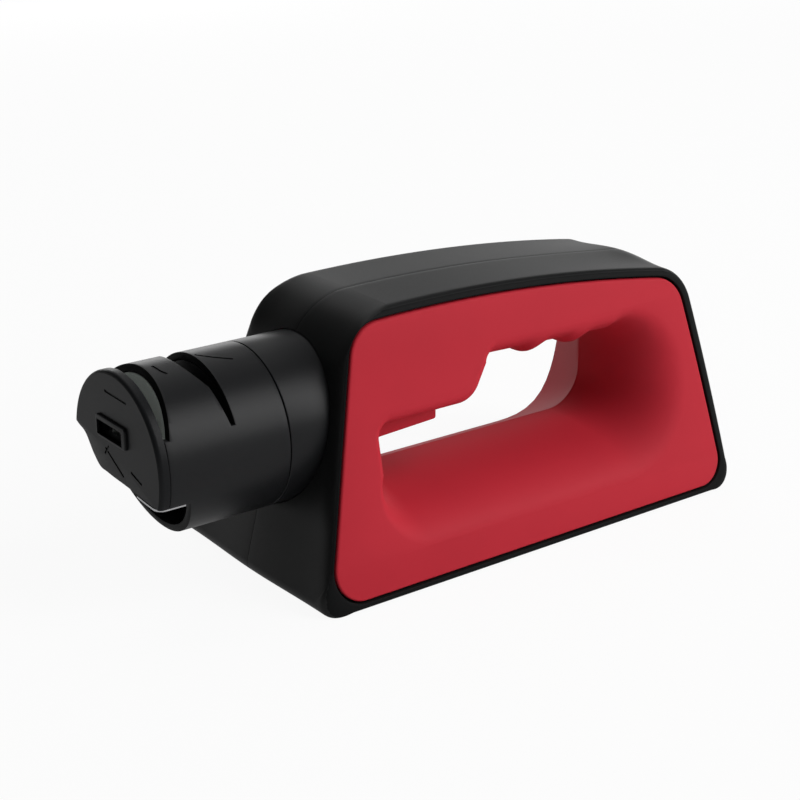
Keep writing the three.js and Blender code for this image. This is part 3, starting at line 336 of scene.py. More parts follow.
def ring_loft(name, rings, closed=False):
    """Rings of equal length, skinned one after another; open ends get a flat cap."""
    count = len(rings[0])
    points = np.concatenate(rings)
    faces = []
    last = len(rings) if closed else len(rings) - 1
    for r in range(last):
        s = (r + 1) % len(rings)
        for i in range(count):
            j = (i + 1) % count
            faces.append((r * count + i, r * count + j, s * count + j, s * count + i))
    if not closed:
        faces.append(tuple(range(count)))
        faces.append(tuple((len(rings) - 1) * count + i for i in range(count)))
    return new_object(name, points, faces)


def spun(name, profile, segments, spot):
    """A closed profile of (place along the axis, radius) points turned once round by spot()."""
    rings = []
    for step in range(segments):
        angle = 2 * math.pi * step / segments
        c, s = math.cos(angle), math.sin(angle)
        rings.append(np.array([spot(along, r * c, r * s) for along, r in profile]))
    return ring_loft(name, rings, closed=True)


def turned(name, profile, segments=96):
    """A closed profile of (x, radius) points turned about the head's axis."""
    return spun(name, profile, segments, lambda x, c, s: (x, s, AXIS_Z + c))


def upright(name, x, y, profile, segments=48):
    """A closed profile of (z, radius) points turned about a vertical line."""
    return spun(name, profile, segments, lambda z, c, s: (x + c, y + s, z))


def along_y(name, x, z, profile, segments=48):
    """A closed profile of (y, radius) points turned about a line along Y."""
    return spun(name, profile, segments, lambda y, c, s: (x + c, y, z + s))


def block(name, low, high):
    (a, b, c), (d, e, f) = low, high
    points = [(a, b, c), (d, b, c), (d, e, c), (a, e, c), (a, b, f), (d, b, f), (d, e, f), (a, e, f)]
    faces = [(0, 3, 2, 1), (4, 5, 6, 7), (0, 1, 5, 4), (1, 2, 6, 5), (2, 3, 7, 6), (3, 0, 4, 7)]
    return new_object(name, points, faces)


def prism(name, outline, low, high, axis):
    """A polygon pushed along x (points are y, z) or along y (points are x, z)."""
    count = len(outline)
    points = []
    for level in (low, high):
        for u, v in outline:
            points.append((level, u, v) if axis == "x" else (u, level, v))
    faces = [tuple(range(count)), tuple(range(count, 2 * count))]
    for i in range(count):
        j = (i + 1) % count
        faces.append((i, j, count + j, count + i))
    return new_object(name, points, faces)


def mirrored(obj, name):
    """A copy on the other side of the middle plane."""
    mesh = obj.data.copy()
    mesh.name = name
    other = bpy.data.objects.new(name, mesh)
    bpy.context.scene.collection.objects.link(other)
    for vertex in mesh.vertices:
        vertex.co.y = -vertex.co.y
    mesh.flip_normals()
    outward(other)
    return other


def dress(obj, body, material, *nodes, slot=None, angle=35):
    """Last touch on a piece: shading, finish, body and the nodes that it stands for."""
    obj.data.shade_smooth()
    obj.data.set_sharp_from_angle(angle=math.radians(angle))
    obj.data.materials.clear()
    obj.data.materials.append(material)
    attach(obj, body)
    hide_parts(*nodes)


def paint_shade_by_facing(obj, material, directions, nearness):
    """Paints shade: gives a darker, less glossy material to the faces whose normal is near to one of the
    directions.
    """
    obj.data.materials.append(material)
    for polygon in obj.data.polygons:
        nearest = max(polygon.normal.dot(direction) for direction in directions)
        polygon.material_index = int(nearest > nearness)


# Profiles and outlines

EDGE_PARTS = 2.2


def between(start, end, share):
    """The point at a share of the way from start to end."""
    return (start[0] + (end[0] - start[0]) * share, start[1] + (end[1] - start[1]) * share)


def divided(profile, pitch):
    """The same closed profile with its long straight parts cut into short ones."""
    out = []
    for start, end in zip(profile, profile[1:] + profile[:1]):
        steps = max(1, round(math.dist(start, end) / pitch))
        out += [between(start, end, step / steps) for step in range(steps)]
    return out


def softened(profile, radius, steps=4):
    """A closed profile with each corner off the axis replaced by a curve, short of half an edge."""
    out = []
    for i, corner in enumerate(profile):
        if corner[1] <= 0:
            out.append(corner)
            continue
        ends = []
        for other in (profile[i - 1], profile[(i + 1) % len(profile)]):
            length = math.dist(corner, other)
            ends.append(between(corner, other, min(radius, length / EDGE_PARTS) / length))
        for t in np.linspace(0, 1, steps + 1):
            a, b, c = (1 - t) ** 2, 2 * t * (1 - t), t**2
            out.append(tuple(a * ends[0][k] + b * corner[k] + c * ends[1][k] for k in (0, 1)))
    return out


def corner_at(x, z, radius, edge, **more):
    """A corner of an outline; edge holds the values of the stretch that follows it."""
    return {"x": x, "z": z, "radius": radius, "edge": edge, **more}


def corner_width(before, corner, turn, share):
    """Width on the way round a corner: even, or pushed out to a squarer one by a power."""
    first, last = before["edge"].get("width", 0), corner["edge"].get("width", 0)
    power = corner.get("square")
    if not power:
        return first + (last - first) * share
    along_first = (math.cos(turn * share) / (corner["radius"] + first)) ** power
    along_last = (math.sin(turn * share) / (corner["radius"] + last)) ** power
    return (along_first + along_last) ** (-1 / power) - corner["radius"]


def rounded_outline(corners, arc_steps):
    """Corners, counted anticlockwise, to rows of place, normal and edge values.

    A corner without a radius gives one row, with the middle of the values on its two sides.
    """
    rows = []
    for i, corner in enumerate(corners):
        before = corners[i - 1]
        after = corners[(i + 1) % len(corners)]
        into = Vector((corner["x"] - before["x"], corner["z"] - before["z"])).normalized()
        out = Vector((after["x"] - corner["x"], after["z"] - corner["z"])).normalized()
        turn = math.atan2(into.x * out.y - into.y * out.x, into.dot(out))
        radius = corner["radius"]
        steps = arc_steps if radius > 0 else 0
        reach = radius * math.tan(abs(turn) / 2)
        side = math.copysign(1, turn)
        normal_in = Vector((into.y, -into.x))
        start = Vector((corner["x"], corner["z"])) - into * reach
        centre = start - normal_in * radius * side
        for step in range(steps + 1):
            share = step / steps if steps else 0.5
            c, s = math.cos(turn * share), math.sin(turn * share)
            normal = Vector((normal_in.x * c - normal_in.y * s, normal_in.x * s + normal_in.y * c))
            spot = centre + normal * radius * side
            row = {"x": spot.x, "z": spot.y, "nx": normal.x, "nz": normal.y}
            row["drop"] = corner.get("drop", 0)
            row["width"] = corner_width(before, corner, turn, share)
            for key in ("depth", "crown", "crease", "bow"):
                low, high = before["edge"].get(key, 0), corner["edge"].get(key, 0)
                row[key] = low + (high - low) * share
            rows.append(row)
    return {key: np.array([row[key] for row in rows]) for key in rows[0]}


def top_edge(share):
    """The top's edge values, with a shoulder that bulges at its right end (share 0)."""
    near = max(1 - share / SHOULDER["reach"], 0) ** 2
    return {**RIM["top"], "crown": RIM["top"]["crown"] + SHOULDER["rise"] * near, "crease": 1 - near}


def face_outline(edge, radius):
    """The outline of the housing or of a grip, seen from the front."""

    def left(z):
        return edge["left"] + math.tan(LEFT_LEAN) * z

    def right(z):
        middle = 2 * z / edge["top"] - 1
        return edge["right"] - (math.tan(RIGHT_LEAN) - edge["lean"]) * z + edge["bow"] * (1 - middle**2)

    def top(x):
        return edge["top"] - TOP_RADIUS + math.sqrt(TOP_RADIUS**2 - (x - CREST_X) ** 2)

    foot = edge["bottom"]
    top_left = left(top(left(edge["top"])))
    top_right = right(top(right(edge["top"])))
    side = []
    for share in SIDE_SHARES:
        z = foot + (edge["top"] - foot) * share
        side.append(corner_at(right(z), z, 0, RIM["right"]))
    arch = []
    for share in ARCH_SHARES:
        x = top_right + (top_left - top_right) * share
        arch.append(corner_at(x, top(x), 0, top_edge(share)))
    corners = [
        corner_at(left(foot), foot, radius["bottom_left"], RIM["bottom"]),
        corner_at(right(foot), foot, radius["bottom_right"], RIM["right"]),
        *side,
        corner_at(top_right, top(top_right), radius["top_right"], top_edge(0)),
        *arch,
        corner_at(top_left, top(top_left), radius["top_left"], RIM["left"]),
    ]
    return rounded_outline(corners, CORNER_STEPS)


body_line = face_outline(BODY_EDGE, BODY_RADIUS)
grip_line = face_outline(GRIP_EDGE, GRIP_RADIUS)


# Housing


def face_ring(line, inset, deep):
    """A ring inside an outline, at a depth behind the front face."""
    x = line["x"] - line["nx"] * inset
    z = line["z"] - line["nz"] * inset
    return np.stack([x, -(half_thickness(z) - deep), z], axis=1)


def rim_rings():
    """Rings over the front border: a nearly flat strip that turns over a tight edge to the wall."""
    reach = GAP + RECESS_EDGE
    gx = grip_line["x"] + grip_line["nx"] * reach
    gz = grip_line["z"] + grip_line["nz"] * reach
    bx, bz, nx, nz = (body_line[key] for key in ("x", "z", "nx", "nz"))
    start = (bx - gx) * nx + (bz - gz) * nz
    slide_x = gx - (bx - nx * start)
    slide_z = gz - (bz - nz * start)
    width = np.maximum(start, RIM_LEAST) / (1 - math.sin(RIM_START) ** RIM_POWER)
    rings = []
    for share in np.linspace(0, 1, RIM_STEPS):
        angle = RIM_START + share * (math.pi / 2 - RIM_START)
        inset = width * (1 - math.sin(angle) ** RIM_POWER)
        deep = body_line["depth"] * (1 - max(math.cos(angle), 0) ** RIM_POWER)
        x = bx - nx * inset + slide_x * (1 - share)
        z = bz - nz * inset + slide_z * (1 - share)
        rings.append(np.stack([x, -(half_thickness(z) - deep), z], axis=1))
    return rings


def side_ring(share, inset=0.0, y=None):
    """A ring of the side wall, from the rim's end (0) to the parting line (1), with its bulge."""
    soft = (1 - math.cos(math.pi * share)) / 2
    crease = body_line["crease"]
    bulge = body_line["crown"] * (soft * (1 - crease) + share**CREASE_POWER * crease)
    x = body_line["x"] + body_line["nx"] * (bulge - inset)
    z = body_line["z"] + body_line["nz"] * (bulge - inset)
    start = half_thickness(z) - body_line["depth"]
    level = -(start * (1 - share) + SEAM_HALF * share) if y is None else np.full_like(x, y)
    return np.stack([x, level, z], axis=1)


def shell_half():
    """Recess edge, border, side wall, parting line and inner faces, as one closed surface."""
    sink = body_line["depth"] * (1 - math.cos(RIM_START) ** RIM_POWER)
    rings = [
        face_ring(grip_line, -GAP, WALL + GAP),
        face_ring(grip_line, -GAP, sink + RECESS_EDGE),
        face_ring(grip_line, -GAP - RECESS_EDGE / 3, sink + RECESS_EDGE / 3),
        *rim_rings(),
        *[side_ring(share) for share in WALL_SHARES],
        *[side_ring(1, inset, -level) for inset, level in SEAM_STEPS],
        face_ring(body_line, WALL, LIP_BACK),
        face_ring(grip_line, LIP_WIDTH, LIP_BACK),
        face_ring(grip_line, LIP_WIDTH, WALL + GAP),
    ]
    return ring_loft("front_shell_fine", rings, closed=True)


def underside_cuts():
    """Cutters for the neck, the door's runway and grooves, the bay's window and the feet."""
    ceiling = BASE_Z + DOOR["thickness"] + GAP
    groove = BASE_Z + TONGUE["under"] - GAP / 2
    left = DOOR["left"] - GAP
    right = BODY_EDGE["right"] + OVERRUN
    half = DOOR["half"] + GAP
    wide = half + TONGUE["width"]
    low = -1
    hole = HEAD_RADIUS + GAP
    pad = FOOT["radius"] + GAP
    pocket = [(low, 0), (FOOT["pocket"], 0), (FOOT["pocket"], pad), (low, pad)]
    return [
        turned("neck_cut", [(SEAM_X, 0), (NECK_END, 0), (NECK_END, hole), (SEAM_X, hole)]),
        block("runway_cut", (left, -half, low), (right, half, ceiling)),
        block("groove_cut", (left, -wide, groove), (right, wide, ceiling)),
        block("bay_cut", (BAY["left"], -BAY["half"], low), (BAY["right"], BAY["half"], BAY["top"])),
        upright("foot_cut_left", -FOOT["x"], -FOOT["y"], pocket),
        upright("foot_cut_right", FOOT["x"], -FOOT["y"], pocket),
    ]


# Grips


def opening_outline(flare):
    """The opening's narrow outline, with the finger ridges under its bar and the funnel's widths."""
    left, right, floor = OPENING["left"], OPENING["right"], OPENING["floor"]
    ceiling, bar_left, bar_right = OPENING["ceiling"], OPENING["bar_left"], OPENING["bar_right"]
    radius = OPENING_RADIUS
    slope = (bar_right - bar_left) / (right - RISER_HEAD)
    span = right - radius["top_right"]
    ridges = []
    for ridge in range(RIDGE["count"]):
        for share in np.linspace(0, 1, RIDGE["steps"]):
            x = RIDGE["first"] + ridge * RIDGE["pitch"] + RIDGE["width"] * share
            z = bar_left + slope * (x - RISER_HEAD)
            drop = RIDGE["drop"] * math.sin(math.pi * share) ** 2
            if x < span:
                ridges.append(corner_at(x, z, 0, flare["bar"], drop=drop))
    corners = [
        corner_at(left, floor, radius["floor_left"], flare["floor"]),
        corner_at(right, floor, radius["floor_right"], flare["right"], square=flare.get("square")),
        corner_at(right, bar_right, radius["top_right"], flare["bar"]),
        *ridges[::-1],
        corner_at(RISER_HEAD, bar_left, radius["riser_head"], flare["riser"]),
        corner_at(RISER_FOOT, ceiling, radius["riser_foot"], flare["ceiling"]),
        corner_at(left, ceiling, radius["left_ceiling"], flare["left"]),
    ]
    line = rounded_outline(corners, OPENING_STEPS)
    lean_top = bar_right - radius["top_right"]
    below = np.maximum(lean_top - line["z"], 0) * np.maximum(line["nx"], 0) ** LEAN_FADE
    line["width"] = line["width"] + math.tan(flare.get("lean", 0)) * below
    return line


def opening_ring(line, straight, share, skin, y=None):
    """A ring of the funnel: share 1 is its mouth on the face, share 0 its narrow end."""
    rise = math.sqrt(max(0.0, 1 - share**2))
    opened = share + (1 - rise - share) * line["bow"]
    pushed = 1 - share + (rise - 1 + share) * line["bow"]
    spread = line["width"] * opened + skin * pushed
    x = line["x"] + line["nx"] * spread
    z = line["z"] + line["nz"] * spread - line["drop"] * (1 - share**2)
    face = half_thickness(z)
    run = np.minimum(line["depth"], face - straight)
    level = -(face - run * (1 - share) - skin * share) if y is None else np.full_like(x, y)
    return np.stack([x, level, z], axis=1)


def grip_half(name, flare):
    """Plate with a rounded edge, funnel and inner skin, as one closed surface."""
    line = opening_outline(flare)
    straight = flare["straight"]
    plate = [face_ring(grip_line, GRIP_INSET, WALL), face_ring(grip_line, GRIP_INSET, GRIP_FILLET)]
    for step in range(1, FILLET_STEPS + 1):
        angle = math.pi / 2 * step / FILLET_STEPS
        inset = GRIP_INSET + GRIP_FILLET * (1 - math.cos(angle))
        plate.append(face_ring(grip_line, inset, GRIP_FILLET * (1 - math.sin(angle))))
    mouth_in = np.linspace(math.pi / 2, 0, FUNNEL_STEPS)
    skin_out = np.linspace(0, math.pi / 2, SKIN_STEPS)
    funnel = [opening_ring(line, straight, math.sin(a), 0) for a in mouth_in]
    funnel.append(opening_ring(line, straight, 0, 0, -SEAM_HALF))
    funnel.append(opening_ring(line, straight, 0, WALL, -SEAM_HALF))
    funnel += [opening_ring(line, straight, math.sin(a), WALL) for a in skin_out]
    points = np.concatenate(plate + funnel)
    faces = []
    outer = len(grip_line["x"])
    inner = len(line["x"])
    base = outer * len(plate)
    for count, rows, offset in ((outer, len(plate), 0), (inner, len(funnel), base)):
        for r in range(rows - 1):
            for i in range(count):
                j = (i + 1) % count
                a, b = offset + r * count, offset + (r + 1) * count
                faces.append((a + i, a + j, b + j, b + i))
    for plate_row, funnel_row in ((len(plate) - 1, 0), (0, len(funnel) - 1)):
        rim = list(range(plate_row * outer, (plate_row + 1) * outer))
        mouth = list(range(base + funnel_row * inner, base + (funnel_row + 1) * inner))
        loops = [[Vector((points[k][0], points[k][2], 0)) for k in ring] for ring in (rim, mouth)]
        both = rim + mouth
        for a, b, c in tessellate_polygon(loops):
            faces.append((both[a], both[b], both[c]))
    return new_object(name, points, faces)


def trigger_window():
    """A cutter for the window in the funnel's ceiling that the trigger comes through."""
    ceiling, half = OPENING["ceiling"], TRIGGER["half"] + GAP
    return block(
        "window_cut",
        (OPENING["left"], -half, ceiling - TRIGGER_WINDOW["below"]),
        (TRIGGER["right"] + TRIGGER_WINDOW["right"], half, ceiling + WALL + GAP),
    )


# Finishes


def node(tree, kind, **values):
    """A new shader node; each value goes to its property or, failing that, its input."""
    made = tree.nodes.new(kind)
    for key, value in values.items():
        if hasattr(made, key):
            setattr(made, key, value)
        else:
            made.inputs[key].default_value = value
    return made


def moulded(name, colour, rough, *, grain, depth, specular=0.5, mottle=0.06, metallic=0.0):
    """A moulded or rubbed surface: broad mottling, changing roughness and a fine grain in the bump.

    grain and depth are in millimetres.
    """
    material = bpy.data.materials.new(name)
    material.use_nodes = True
    tree = material.node_tree
    tree.nodes.clear()
    out = node(tree, "ShaderNodeOutputMaterial")
    surface = node(tree, "ShaderNodeBsdfPrincipled", Metallic=metallic)
    surface.inputs["Specular IOR Level"].default_value = specular
    where = node(tree, "ShaderNodeTexCoord")
    broad = node(tree, "ShaderNodeTexNoise", Scale=MOTTLE_SCALE, Detail=3.0)
    fine = node(tree, "ShaderNodeTexNoise", Scale=1 / (grain * MM), Detail=2.0)
    tint = node(tree, "ShaderNodeMapRange")
    tint.inputs["To Min"].default_value = 1 - mottle
    tint.inputs["To Max"].default_value = 1 + mottle
    paint = node(tree, "ShaderNodeMix", data_type="RGBA", blend_type="MULTIPLY")
    paint.inputs["Factor"].default_value = 1
    paint.inputs["A"].default_value = (*colour, 1)
    gloss = node(tree, "ShaderNodeMapRange")
    gloss.inputs["To Min"].default_value = rough - ROUGH_SWING
    gloss.inputs["To Max"].default_value = rough + ROUGH_SWING
    bump = node(tree, "ShaderNodeBump", Strength=GRAIN_STRENGTH)
    bump.inputs["Distance"].default_value = depth * MM
    link = tree.links.new
    link(where.outputs["Object"], broad.inputs["Vector"])
    link(where.outputs["Object"], fine.inputs["Vector"])
    link(broad.outputs["Fac"], tint.inputs["Value"])
    link(tint.outputs["Result"], paint.inputs["B"])
    link(paint.outputs["Result"], surface.inputs["Base Color"])
    link(fine.outputs["Fac"], gloss.inputs["Value"])
    link(gloss.outputs["Result"], surface.inputs["Roughness"])
    link(fine.outputs["Fac"], bump.inputs["Height"])
    link(bump.outputs["Normal"], surface.inputs["Normal"])
    link(surface.outputs["BSDF"], out.inputs["Surface"])
    return material


shell_black = moulded("shell_black", (0.0085, 0.0088, 0.009), 0.42, grain=0.45, depth=0.03, specular=0.16)
# Painted shade: a darker, less glossy copy of the shell's black, for the front border strip round the
# grips and the walls of the knife slots
painted_shade_black = moulded("painted_shade_black", (0.0075, 0.0078, 0.008), 0.5, grain=0.45, depth=0.03, specular=0.04)
head_black = moulded("head_black", (0.009, 0.0093, 0.0102), 0.38, grain=0.4, depth=0.02, specular=0.16)
# Painted shade: the cap's black is a darker, less glossy copy of the head's black
cap_shaded_black = moulded("cap_shaded_black", (0.0075, 0.0079, 0.0088), 0.4, grain=0.4, depth=0.02, specular=0.11)
guide_grey = moulded("guide_grey", (0.64, 0.7, 0.65), 0.55, grain=0.5, depth=0.03, specular=0.3)
grip_red = moulded(
    "grip_red", (0.478, 0.021, 0.0355), 0.62, grain=0.35, depth=0.03, specular=0.13, mottle=0.05
)
steel = moulded("steel", (0.46, 0.46, 0.47), 0.36, grain=0.3, depth=0.01, metallic=1.0)
zinc = moulded("zinc", (0.42, 0.43, 0.44), 0.42, grain=0.5, depth=0.02, metallic=1.0)
grit = moulded("grit", (0.26, 0.3, 0.27), 0.85, grain=0.35, depth=0.25, specular=0.4, mottle=0.2)
inner_plastic = moulded("inner_plastic", (0.03, 0.03, 0.032), 0.5, grain=0.6, depth=0.03, specular=0.4)
switch_black = moulded("switch_black", (0.012, 0.012, 0.013), 0.4, grain=0.4, depth=0.02)
rubber = moulded("rubber", (0.018, 0.018, 0.018), 0.8, grain=0.5, depth=0.08, specular=0.3)
magnet_grey = moulded("magnet_grey", (0.07, 0.065, 0.06), 0.6, grain=0.4, depth=0.04)
cell_wrap = moulded("cell_wrap", (0.16, 0.2, 0.26), 0.3, grain=0.6, depth=0.01, mottle=0.1)
wire_red = moulded("wire_red", (0.4, 0.02, 0.02), 0.45, grain=0.4, depth=0.01)
wire_black = moulded("wire_black", (0.012, 0.012, 0.012), 0.45, grain=0.4, depth=0.01)

# Housing halves, with hollow posts for the screws and painted shade on the strip round the grips: a
# darker, less glossy black
front_shell = cut(shell_half(), *underside_cuts())
rear_shell = mirrored(front_shell, "rear_shell_fine")
for x, z in SCREWS:
    back = half_thickness(z + SCREW["boss"]) - WALL - GAP
    hole, boss, well = SCREW["hole"], SCREW["boss"], SCREW["well"]
    end, blind, seat = SCREW["end"], SCREW["tip"] - GAP, SCREW["seat"]
    front_boss = [(-end, hole), (-end, boss), (-back, boss), (-back, 0), (blind, 0), (blind, hole)]
    rear_boss = [(end, hole), (end, boss), (back, boss), (back, well), (seat, well), (seat, hole)]
    join(front_shell, along_y("front_boss", x, z, front_boss, segments=32))
    join(rear_shell, along_y("rear_boss", x, z, rear_boss, segments=32))
dress(front_shell, "housing", shell_black, "front_shell", slot="shell")
dress(rear_shell, "housing", shell_black, "rear_shell", slot="shell")
# Painted shade on the flat strip round the grip: its front-facing faces take the darker, less glossy black
for shell, side in ((front_shell, -1), (rear_shell, 1)):
    facing = Vector((0, side * math.cos(FACE_LEAN), math.sin(FACE_LEAN)))
    paint_shade_by_facing(shell, painted_shade_black, [facing], SHADED_BORDER_FACING)

# Grips; the rear one is made on the front side and mirrored
front_grip = cut(grip_half("front_grip_fine", FRONT_FLARE), trigger_window())
rear_half = cut(grip_half("rear_half", REAR_FLARE), trigger_window())
rear_grip = mirrored(rear_half, "rear_grip_fine")
bpy.data.objects.remove(rear_half)
near, far = WELL_CUT
well_cut = [(near, 0), (far, 0), (far, SCREW["well"]), (near, SCREW["well"])]
for x, z in SCREWS:
    cut(rear_grip, along_y("well_cut", x, z, well_cut))
dress(front_grip, "housing", grip_red, "front_grip", slot="grip", angle=30)
dress(rear_grip, "housing", grip_red, "rear_grip", slot="grip", angle=30)

# Neck
spigot_radius = HEAD_RADIUS - WALL - GAP
bore = spigot_radius - WALL
motor_face = SEAM_X - SPIGOT + MOTOR_PLATE
neck = turned(
    "neck_fine",
    softened(
        [
            (SEAM_X - SPIGOT, MOTOR_HOLE),
            (SEAM_X - SPIGOT, spigot_radius),
            (SEAM_X + SEAM_GAP, spigot_radius),
            (SEAM_X + SEAM_GAP, HEAD_RADIUS),
            (NECK_END, HEAD_RADIUS),
            (NECK_END, bore),
            (motor_face, bore),
            (motor_face, MOTOR_HOLE),
        ],
        radius=0.35,
    ),
    segments=ROUND_STEPS,
)
dress(neck, "housing", head_black, "neck_collar", slot="head")


# Head


def nose_edge():
    """The lower edge of the nose as a smooth curve through its chosen points."""
    ys = np.array([p[0] for p in NOSE_EDGE])
    zs = np.array([p[1] for p in NOSE_EDGE])
    slopes = np.gradient(zs, ys)
    out = []
    for y in np.linspace(ys[0], ys[-1], NOSE_STEPS):
        k = min(max(np.searchsorted(ys, y) - 1, 0), len(ys) - 2)
        h = ys[k + 1] - ys[k]
        t = (y - ys[k]) / h
        z = (
            (2 * t**3 - 3 * t**2 + 1) * zs[k]
            + (t**3 - 2 * t**2 + t) * h * slopes[k]
            + (3 * t**2 - 2 * t**3) * zs[k + 1]
            + (t**3 - t**2) * h * slopes[k + 1]
        )
        out.append((y * HEAD_RADIUS, z * HEAD_RADIUS))
    return out


nose_curve = nose_edge()


def jaw_x(z):
    """Where the notch below the nose ends, at a height over the axis; its end leans."""
    return JAW_FOOT["x"] - JAW_FOOT["lean"] * (z - JAW_FOOT["z"])


def nose_cut():
    """A cutter for the notch below the nose."""
    low = -HEAD_RADIUS - OVERRUN
    outline = [(y, AXIS_Z + z) for y, z in nose_curve]
    outline += [(-low, AXIS_Z + low), (low, AXIS_Z + low)]
    left = np.array([(CAP_FACE_X - OVERRUN, y, z) for y, z in outline])
    right = np.array([(jaw_x(z - AXIS_Z), y, z) for y, z in outline])
    return ring_loft("nose_cut", [left, right])


def slot_cut(shares):
    """A cutter for a knife slot: one upright wall, and one that leans above the knee."""
    high = HEAD_RADIUS + OVERRUN
    spot = {key: SEAM_X - HEAD_LENGTH * share for key, share in shares.items()}
    lean = (spot["top"] - spot["knee"]) / (HEAD_RADIUS - KNEE_Z)
    outline = [
        (spot["wall"], AXIS_Z + SLOT_TIP_Z),
        (spot["tip"], AXIS_Z + SLOT_TIP_Z),
        (spot["knee"], AXIS_Z + KNEE_Z),
        (spot["top"] + lean * OVERRUN, AXIS_Z + high),
        (spot["wall"], AXIS_Z + high),
    ]
    return prism("slot_cut", outline, -high, high, "y")


def surface_mark(path, width):
    """A cutter for a plain groove on the cylinder; path holds (x, degrees from the top to the front)."""
    places = [np.array((x, math.radians(angle) * HEAD_RADIUS)) for x, angle in path]
    deep, above = -MARK["depth"], MARK["above"]
    rings = []
    for i, place_on in enumerate(places):
        along = places[min(i + 1, len(places) - 1)] - places[max(i - 1, 0)]
        across = np.array((-along[1], along[0])) / np.linalg.norm(along) * width / 2
        ring = []
        for side, height in ((1, deep), (1, above), (-1, above), (-1, deep)):
            x, turn = place_on + across * side
            reach = HEAD_RADIUS + height
            angle = turn / HEAD_RADIUS
            ring.append((x, -reach * math.sin(angle), AXIS_Z + reach * math.cos(angle)))
        rings.append(np.array(ring))
    return ring_loft("surface_mark", rings)


head = turned(
    "guide_head_fine",
    divided(
        softened(
            [
                (SEAM_X - SEAM_GAP, HEAD_RADIUS - WALL),
                (SEAM_X - SEAM_GAP, HEAD_RADIUS),
                (CAP_JOINT_X + CAP_GAP, HEAD_RADIUS),
                (CAP_JOINT_X + CAP_GAP, HEAD_RADIUS - WALL),
            ],
            radius=0.3,
        ),
        pitch=HEAD_PITCH,
    ),
    segments=ROUND_STEPS,
)
cut(head, nose_cut(), slot_cut(SLOT_ONE), slot_cut(SLOT_TWO))
rounded_edges(head, width=0.3, segments=2, angle=40)
cut(head, *[surface_mark(path, width) for width, path in HEAD_MARKS])
dress(head, "head", head_black, "guide_head", slot="head")
# Painted shade in the knife slots: the walls facing along x take the darker, less glossy black
paint_shade_by_facing(head, painted_shade_black, [Vector((1, 0, 0)), Vector((-1, 0, 0))], SHADED_SLOT_WALL_FACING)


# End cap: a flat face, a crease and a rounded shoulder


def cap_mark(start, end):
    """A cutter for a plain shallow groove on the cap, between two (y, z) places."""
    along = np.subtract(end, start) / math.dist(start, end)
    aside = np.array((-along[1], along[0])) * MARK["cap_width"] / 2
    corners = [start + aside, end + aside, end - aside, start - aside]
    outline = [(y, AXIS_Z + z) for y, z in corners]
    return prism("mark_cut", outline, CAP_FACE_X - MARK["above"], CAP_FACE_X + MARK["depth"], "x")


def rounded_box(low, high, radius, steps=6):
    """The outline of a box with round corners, from its (y, z) corners."""
    outline = []
    for y, z, turn in (
        (low[0] + radius, low[1] + radius, math.pi),
        (high[0] - radius, low[1] + radius, math.pi * 1.5),
        (high[0] - radius, high[1] - radius, 0.0),
        (low[0] + radius, high[1] - radius, math.pi / 2),
    ):
        for a in np.linspace(turn, turn + math.pi / 2, steps):
            outline.append((y + radius * math.cos(a), z + radius * math.sin(a)))
    return outline


shoulder = [
    (
        CAP_FACE_X + CAP_SHOULDER["deep"] * (1 - math.cos(a)),
        HEAD_RADIUS - CAP_SHOULDER["drop"] * (1 - math.sin(a)),
    )
    for a in np.linspace(CAP_SHOULDER["start"], math.pi / 2, CAP_SHOULDER["steps"])
]
first_x, first_r = shoulder[0]
cap = turned(
    "end_cap_fine",
    [
        (CAP_JOINT_X - CAP_GAP, 0),
        (CAP_JOINT_X - CAP_GAP, HEAD_RADIUS - CAP_GAP),
        (CAP_JOINT_X - CAP_GAP * 2, HEAD_RADIUS),
        *shoulder[::-1],
        (first_x, first_r - CAP_CREASE["step"]),
        (CAP_FACE_X, first_r - CAP_CREASE["land"]),
        (CAP_FACE_X, 0),
    ],
    segments=ROUND_STEPS,
)
cut(cap, nose_cut())
rounded_edges(cap, width=0.45, angle=60)
cut(cap, *[cap_mark(start, end) for start, end in CAP_MARKS])

# The slot for bits, with its raised collar
low_y, high_y = BIT["y"] - BIT["width"] / 2, BIT["y"] + BIT["width"] / 2
low_z, high_z = AXIS_Z + BIT["z"] - BIT["height"] / 2, AXIS_Z + BIT["z"] + BIT["height"] / 2
collar_low = (low_y - COLLAR["front"], low_z - COLLAR["below"])
collar_high = (high_y + COLLAR["rear"], high_z + COLLAR["above"])
collar_line = rounded_box(collar_low, collar_high, COLLAR["corner"])
collar = prism("collar", collar_line, CAP_FACE_X - COLLAR["rise"], CAP_FACE_X + COLLAR["sink"], "x")
rounded_edges(collar, width=0.5, segments=4, angle=50)
bit_low = (CAP_FACE_X - OVERRUN, low_y, low_z)
bit_high = (CAP_JOINT_X + OVERRUN, high_y, high_z)
for piece in (cap, collar):
    cut(piece, block("bit_cut", bit_low, bit_high))
join(cap, collar)
# The cap takes the painted shade: the darker, less glossy copy of the head's black
dress(cap, "head", cap_shaded_black, "end_cap", slot="head", angle=30)


# Blade guides behind the slots


def wheel_room():
    """A cutter for the room that the wheel turns in."""
    room, radius = WHEEL["room"], WHEEL["radius"] + WHEEL["room"]
    past = WHEEL["bevel"] + room
    return turned(
        "wheel_room",
        [
            (WHEEL_LEFT - past, 0),
            (WHEEL_LEFT - past, WHEEL["face_radius"]),
            (WHEEL_LEFT - room, radius),
            (WHEEL_RIGHT + room, radius),
            (WHEEL_RIGHT + past, WHEEL["face_radius"]),
            (WHEEL_RIGHT + past, 0),
        ],
    )


